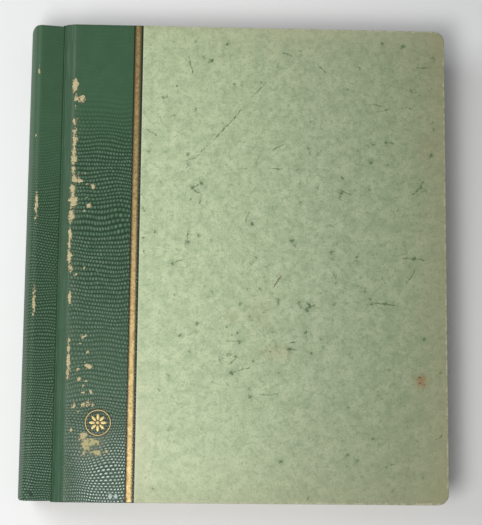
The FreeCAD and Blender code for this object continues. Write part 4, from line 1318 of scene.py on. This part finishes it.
def inner_joint(side, finish):
    """The cloth strip inside the album: from the clamp lever up under the hinge line, and on to the board.

    It has no points right at the hinge line, so that the open strip is pulled straight and clears the leaves.
    """
    row_step = 6 * MM
    lever_z = INNER_LOW.z + 0.1 * MM
    board_z = INNER_HIGH.z - INNER_THICK
    fold_z = HINGE_LINE.z - 1.55 * MM
    rise = eased([
        (INNER_LOW.x, lever_z),
        (HINGE_LINE.x - 1.0 * MM, lever_z),
        (HINGE_LINE.x - 0.55 * MM, fold_z - 0.8 * MM),
        (HINGE_LINE.x - FOLD_HALF, fold_z),
    ], rounds=2)
    fall = eased([
        (HINGE_LINE.x + FOLD_HALF, fold_z),
        (HINGE_LINE.x + 1.5 * MM, fold_z - 0.25 * MM),
        (BOARD_LOW.x, board_z),
        (INNER_HIGH.x, board_z),
    ], rounds=2)
    line = np.concatenate([rise, fall])
    ys = even_steps(INNER_HIGH.y, INNER_LOW.y, row_step)
    points = np.array([[(x, y, z) for y in ys] for x, z in line])
    flat = points[..., :2]
    return sheet(f"{side}_inner_hinge", points, flat, {}, INNER_THICK, finish, mirrored=side == "back")


# Stage


def photo_camera():
    """The camera where the photograph's perspective puts it."""
    sensor = 36.0
    data = bpy.data.cameras.new("photo_camera")
    data.sensor_width = sensor
    data.lens = FOCAL_PIXELS / PHOTO_HIGH * sensor
    camera = bpy.data.objects.new("photo_camera", data)
    camera.location = CAMERA_PLACE
    camera.rotation_euler = CAMERA_TURN
    SCENE.collection.objects.link(camera)
    SCENE.camera = camera


def lamp(name, place, size, power, colour):
    """A soft square lamp aimed at the middle of the album's footprint."""
    data = bpy.data.lights.new(name, "AREA")
    data.size = size
    data.energy = power
    data.color = colour
    holder = bpy.data.objects.new(name, data)
    holder.location = place
    holder.rotation_euler = (-Vector(place)).to_track_quat("-Z", "Y").to_euler()
    SCENE.collection.objects.link(holder)


def studio():
    """Pale floor, a key lamp from the lower left, a window lamp from the upper left and an even surround."""
    finish = Finish("pale_floor", roughness=0.9, specular=0.1)
    soft = finish.noise(finish.places(), 120 * MM)
    finish.done(finish.mix(soft, (0.86, 0.86, 0.855), (0.89, 0.89, 0.885)))
    reach = 3.0
    corners = [(-reach, -reach, 0), (reach, -reach, 0), (reach, reach, 0), (-reach, reach, 0)]
    mesh = bpy.data.meshes.new("floor")
    mesh.from_pydata(corners, [], [(0, 1, 2, 3)])
    mesh.materials.append(finish.material)
    floor = bpy.data.objects.new("floor", mesh)
    SCENE.collection.objects.link(floor)
    lamp("key", place=(-0.25, -0.29, 0.85), size=0.36, power=4.7, colour=(1.0, 0.99, 0.97))
    lamp("window", place=(-0.62, 0.22, 0.62), size=0.5, power=3.1, colour=(0.96, 0.98, 1.0))
    world = bpy.data.worlds.new("surround")
    world.use_nodes = True
    surround = world.node_tree.nodes["Background"].inputs
    surround["Color"].default_value = (0.93, 0.96, 1.0, 1.0)
    surround["Strength"].default_value = 0.24
    SCENE.world = world
    SCENE.view_settings.view_transform = "Standard"


# Assembly


def dress(nodes, finish):
    """Gives CAD nodes their finish."""
    for name in nodes:
        mesh = frame["nodes"][name].data
        mesh.materials.clear()
        mesh.materials.append(finish)


def build_covers(gilt):
    """Leathercloth, paper sides, gilt and inner hinges of both covers."""
    papers = {
        "front": veined_paper("front_marbled_paper", 1),
        "back": veined_paper("back_marbled_paper", -1),
    }
    inner_cloth = woven("inner_cloth", (0.050, 0.115, 0.068), (0.018, 0.045, 0.028), 0.5 * MM)
    outline = 0.5 * MM
    rule = (cloth_place(RULE_LOW.x) - outline, cloth_place(RULE_HIGH.x) + outline, outline)
    swells = (
        ((cloth_place(-76 * MM), -127 * MM), 14 * MM, 0.26),
        ((cloth_place(-76 * MM), 18 * MM), 30 * MM, 0.14),
    )
    scale = (1.75 * MM, 2.55 * MM, 1.75 * MM)
    gloss = (0.27, 0.30)
    emblem = (EMBLEM_LOW + EMBLEM_HIGH) / 2
    ring = ((cloth_place(emblem.x), emblem.y), (EMBLEM_HIGH.x - EMBLEM_LOW.x) / 2, 1.0 * MM)
    cover_skins = {
        "front": lizard_leathercloth(
            "front_leathercloth", scale, gloss, swells, plates=BROAD_SCALES, rule=rule, ring=ring,
        ),
        "back": lizard_leathercloth("back_leathercloth", scale, gloss, swells, rule=rule),
    }
    for side in SIDES:
        cover = f"{side}_cover"
        flakes, rubs = (FRONT_FLAKES, FRONT_RUBS) if side == "front" else (BACK_FLAKES, ())
        leather = cover_leather(side, cover_skins[side], flakes, rubs)
        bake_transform(leather)
        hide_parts(f"{side}_joint_cloth", f"{side}_quarter_cloth")

        paper = paper_side(side, papers[side])
        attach(paper, cover)
        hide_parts(f"{side}_paper")

        gilt_line = gilt_rule(side, gilt)
        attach(gilt_line, cover)
        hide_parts(f"{side}_gilt_rule")

        hinge = inner_joint(side, inner_cloth)
        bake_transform(hinge)
        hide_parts(f"{side}_inner_joint")


def build_emblem(gilt):
    """The gold ring and rosette near the tail of the front quarter."""
    middle = (EMBLEM_LOW + EMBLEM_HIGH) / 2
    line = 0.30 * MM
    rise = 0.16 * MM
    ring = (EMBLEM_HIGH.x - EMBLEM_LOW.x) / 2 - line
    emblem = grown(
        "gilt_emblem", rosette_tree(), Ring=ring, Line=line, Petals=8, Petal=(1.95 * MM, 0.95 * MM, rise),
        Reach=3.4 * MM, Bead=(1.1 * MM, 1.1 * MM, rise), Place=(middle.x, middle.y, QUARTER_HIGH.z),
        Finish=gilt,
    )
    emblem.data.shade_smooth()
    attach(emblem, "front_cover")
    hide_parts("front_emblem")


def build_spine():
    """The spine's leathercloth."""
    scale = (1.5 * MM, 1.75 * MM, 1.6 * MM)
    gloss = (0.40, 0.26)
    skin = lizard_leathercloth("spine_leathercloth", scale, gloss, creases=SPINE_CREASES)
    leather = spine_leather(skin)
    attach(leather, "spine")
    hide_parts("spine_cloth")


def dress_inside():
    """Finishes of the pieces that keep their own shape."""
    dress(LEAVES, page_paper("page_paper"))
    dress(["leaf_guards"], grey_board("guard_card", (0.74, 0.67, 0.50), (0.60, 0.53, 0.38)))
    dress(["front_pastedown", "back_pastedown"], end_paper("end_paper"))
    dress(["front_board", "back_board"], grey_board("grey_board", (0.40, 0.37, 0.30), (0.28, 0.25, 0.20)))
    dress(["spine_card"], grey_board("spine_card", (0.46, 0.38, 0.25), (0.33, 0.27, 0.17)))
    dress(["spine_spring"], spring_steel("blued_steel", (0.36, 0.38, 0.42), (0.22, 0.24, 0.28)))
    lever_steel = spring_steel("lever_steel", (0.56, 0.56, 0.57), (0.40, 0.40, 0.41))
    dress(["front_lever", "back_lever"], lever_steel)


photo_camera()
studio()
gold = worn_gilt("worn_gilt")
build_covers(gold)
build_emblem(gold)
build_spine()
leaf_linens(woven("hinge_linen", (0.72, 0.67, 0.53), (0.50, 0.45, 0.33), 0.35 * MM))
dress_inside()
